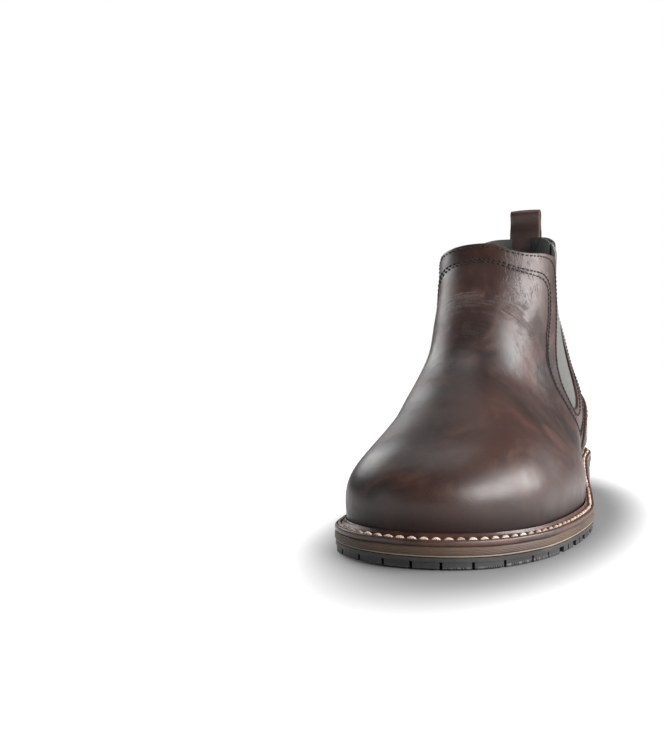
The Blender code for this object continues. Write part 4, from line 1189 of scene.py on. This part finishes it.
# painted shadow: the oval close round the boot where the floor doesn't glow stands in for the boot's shadow
PAINTED_SHADOW_OVAL = (0.060, 0.155, 1.0)  # half width and half length of the oval where the floor doesn't glow
CAMERA_PLACE, CAMERA_TURN = (0.108, -0.5047, 0.0923), (-23.4, 0.8, -0.2)  # turn: yaw, pitch down, roll
LENS, SENSOR = 39.936, 36
WHITE, STUDIO_LEVEL, BACKDROP_LEVEL = (1, 1, 1, 1), 0.11, 1.0
SOFTBOXES = {  # place, aim, width, height, power
    "right_box": ((0.90, -0.10, 0.46), (0.0, -0.02, 0.09), 1.6, 0.50, 27),
    "left_box": ((-0.75, 0.42, 0.62), (0.0, 0.05, 0.12), 0.6, 0.5, 4.0),
    "front_box": ((-0.55, -0.75, 0.22), (0.0, -0.1, 0.05), 0.3, 0.3, 0.6),
    "top_box": ((-0.1, 0.3, 1.6), (0.0, 0.0, 0.0), 0.8, 0.8, 3.5),
}


def added(name, data):
    made = bpy.data.objects.new(name, data)
    bpy.context.scene.collection.objects.link(made)
    return made


def floor():
    """A plain white sheet that glows softly, which is painted light, and glows less close round the boot,
    which is painted shadow.
    """
    n = Nodes("glowing_sheet_with_painted_shadow")
    reach = n.node("VectorMath", out="Value", settings={"operation": "LENGTH"},
                   _0=n.scaled(n.coords, tuple(1 / size for size in PAINTED_SHADOW_OVAL)))
    # painted light and painted shadow: no glow inside the oval round the boot, rising to full glow beyond it
    n.finish(Base_Color=n.mix(n.noise(3, 2), (0.27, 0.27, 0.27), (0.28, 0.28, 0.28)), Roughness=0.6,
             Emission_Color=WHITE[:3], Emission_Strength=n.ramp(reach, 1.0, 1.7, 0.0, 1.05))
    corners = [(x, y, 0.0) for y in (-FLOOR_HALF, FLOOR_HALF) for x in (-FLOOR_HALF, FLOOR_HALF)]
    mesh = bpy.data.meshes.new("floor")
    mesh.from_pydata(corners, [], [(0, 1, 3, 2)])
    mesh.shade_smooth()
    mesh.materials.append(n.material)
    added("floor", mesh)


def camera():
    data = bpy.data.cameras.new("camera")
    data.lens, data.sensor_width = LENS, SENSOR
    made = added("camera", data)
    yaw, pitch, roll = map(math.radians, CAMERA_TURN)
    turn = Matrix.Rotation(-yaw, 4, "Z") @ Matrix.Rotation(math.pi / 2 - pitch, 4, "X")
    made.matrix_world = Matrix.Translation(CAMERA_PLACE) @ turn @ Matrix.Rotation(roll, 4, "Z")
    bpy.context.scene.camera = made


def studio():
    """A dim white room that the camera sees as a bright backdrop, and its soft lights."""
    world = bpy.data.worlds.new("studio")
    world.use_nodes = True
    tree = world.node_tree
    background = tree.nodes["Background"]
    seen = tree.nodes.new("ShaderNodeLightPath").outputs["Is Camera Ray"]
    level = tree.nodes.new("ShaderNodeMapRange")
    level.inputs["To Min"].default_value = STUDIO_LEVEL
    level.inputs["To Max"].default_value = BACKDROP_LEVEL
    tree.links.new(seen, level.inputs["Value"])
    tree.links.new(level.outputs["Result"], background.inputs["Strength"])
    background.inputs["Color"].default_value = WHITE
    bpy.context.scene.world = world
    for name, (place, aim, width, height, power) in SOFTBOXES.items():
        data = bpy.data.lights.new(name, "AREA")
        data.shape, data.size, data.size_y, data.energy = "RECTANGLE", width, height, power
        made = added(name, data)
        made.location = place
        made.rotation_euler = (Vector(aim) - Vector(place)).to_track_quat("-Z", "Y").to_euler()


floor()
camera()
studio()
bpy.context.scene.view_settings.view_transform = "Standard"
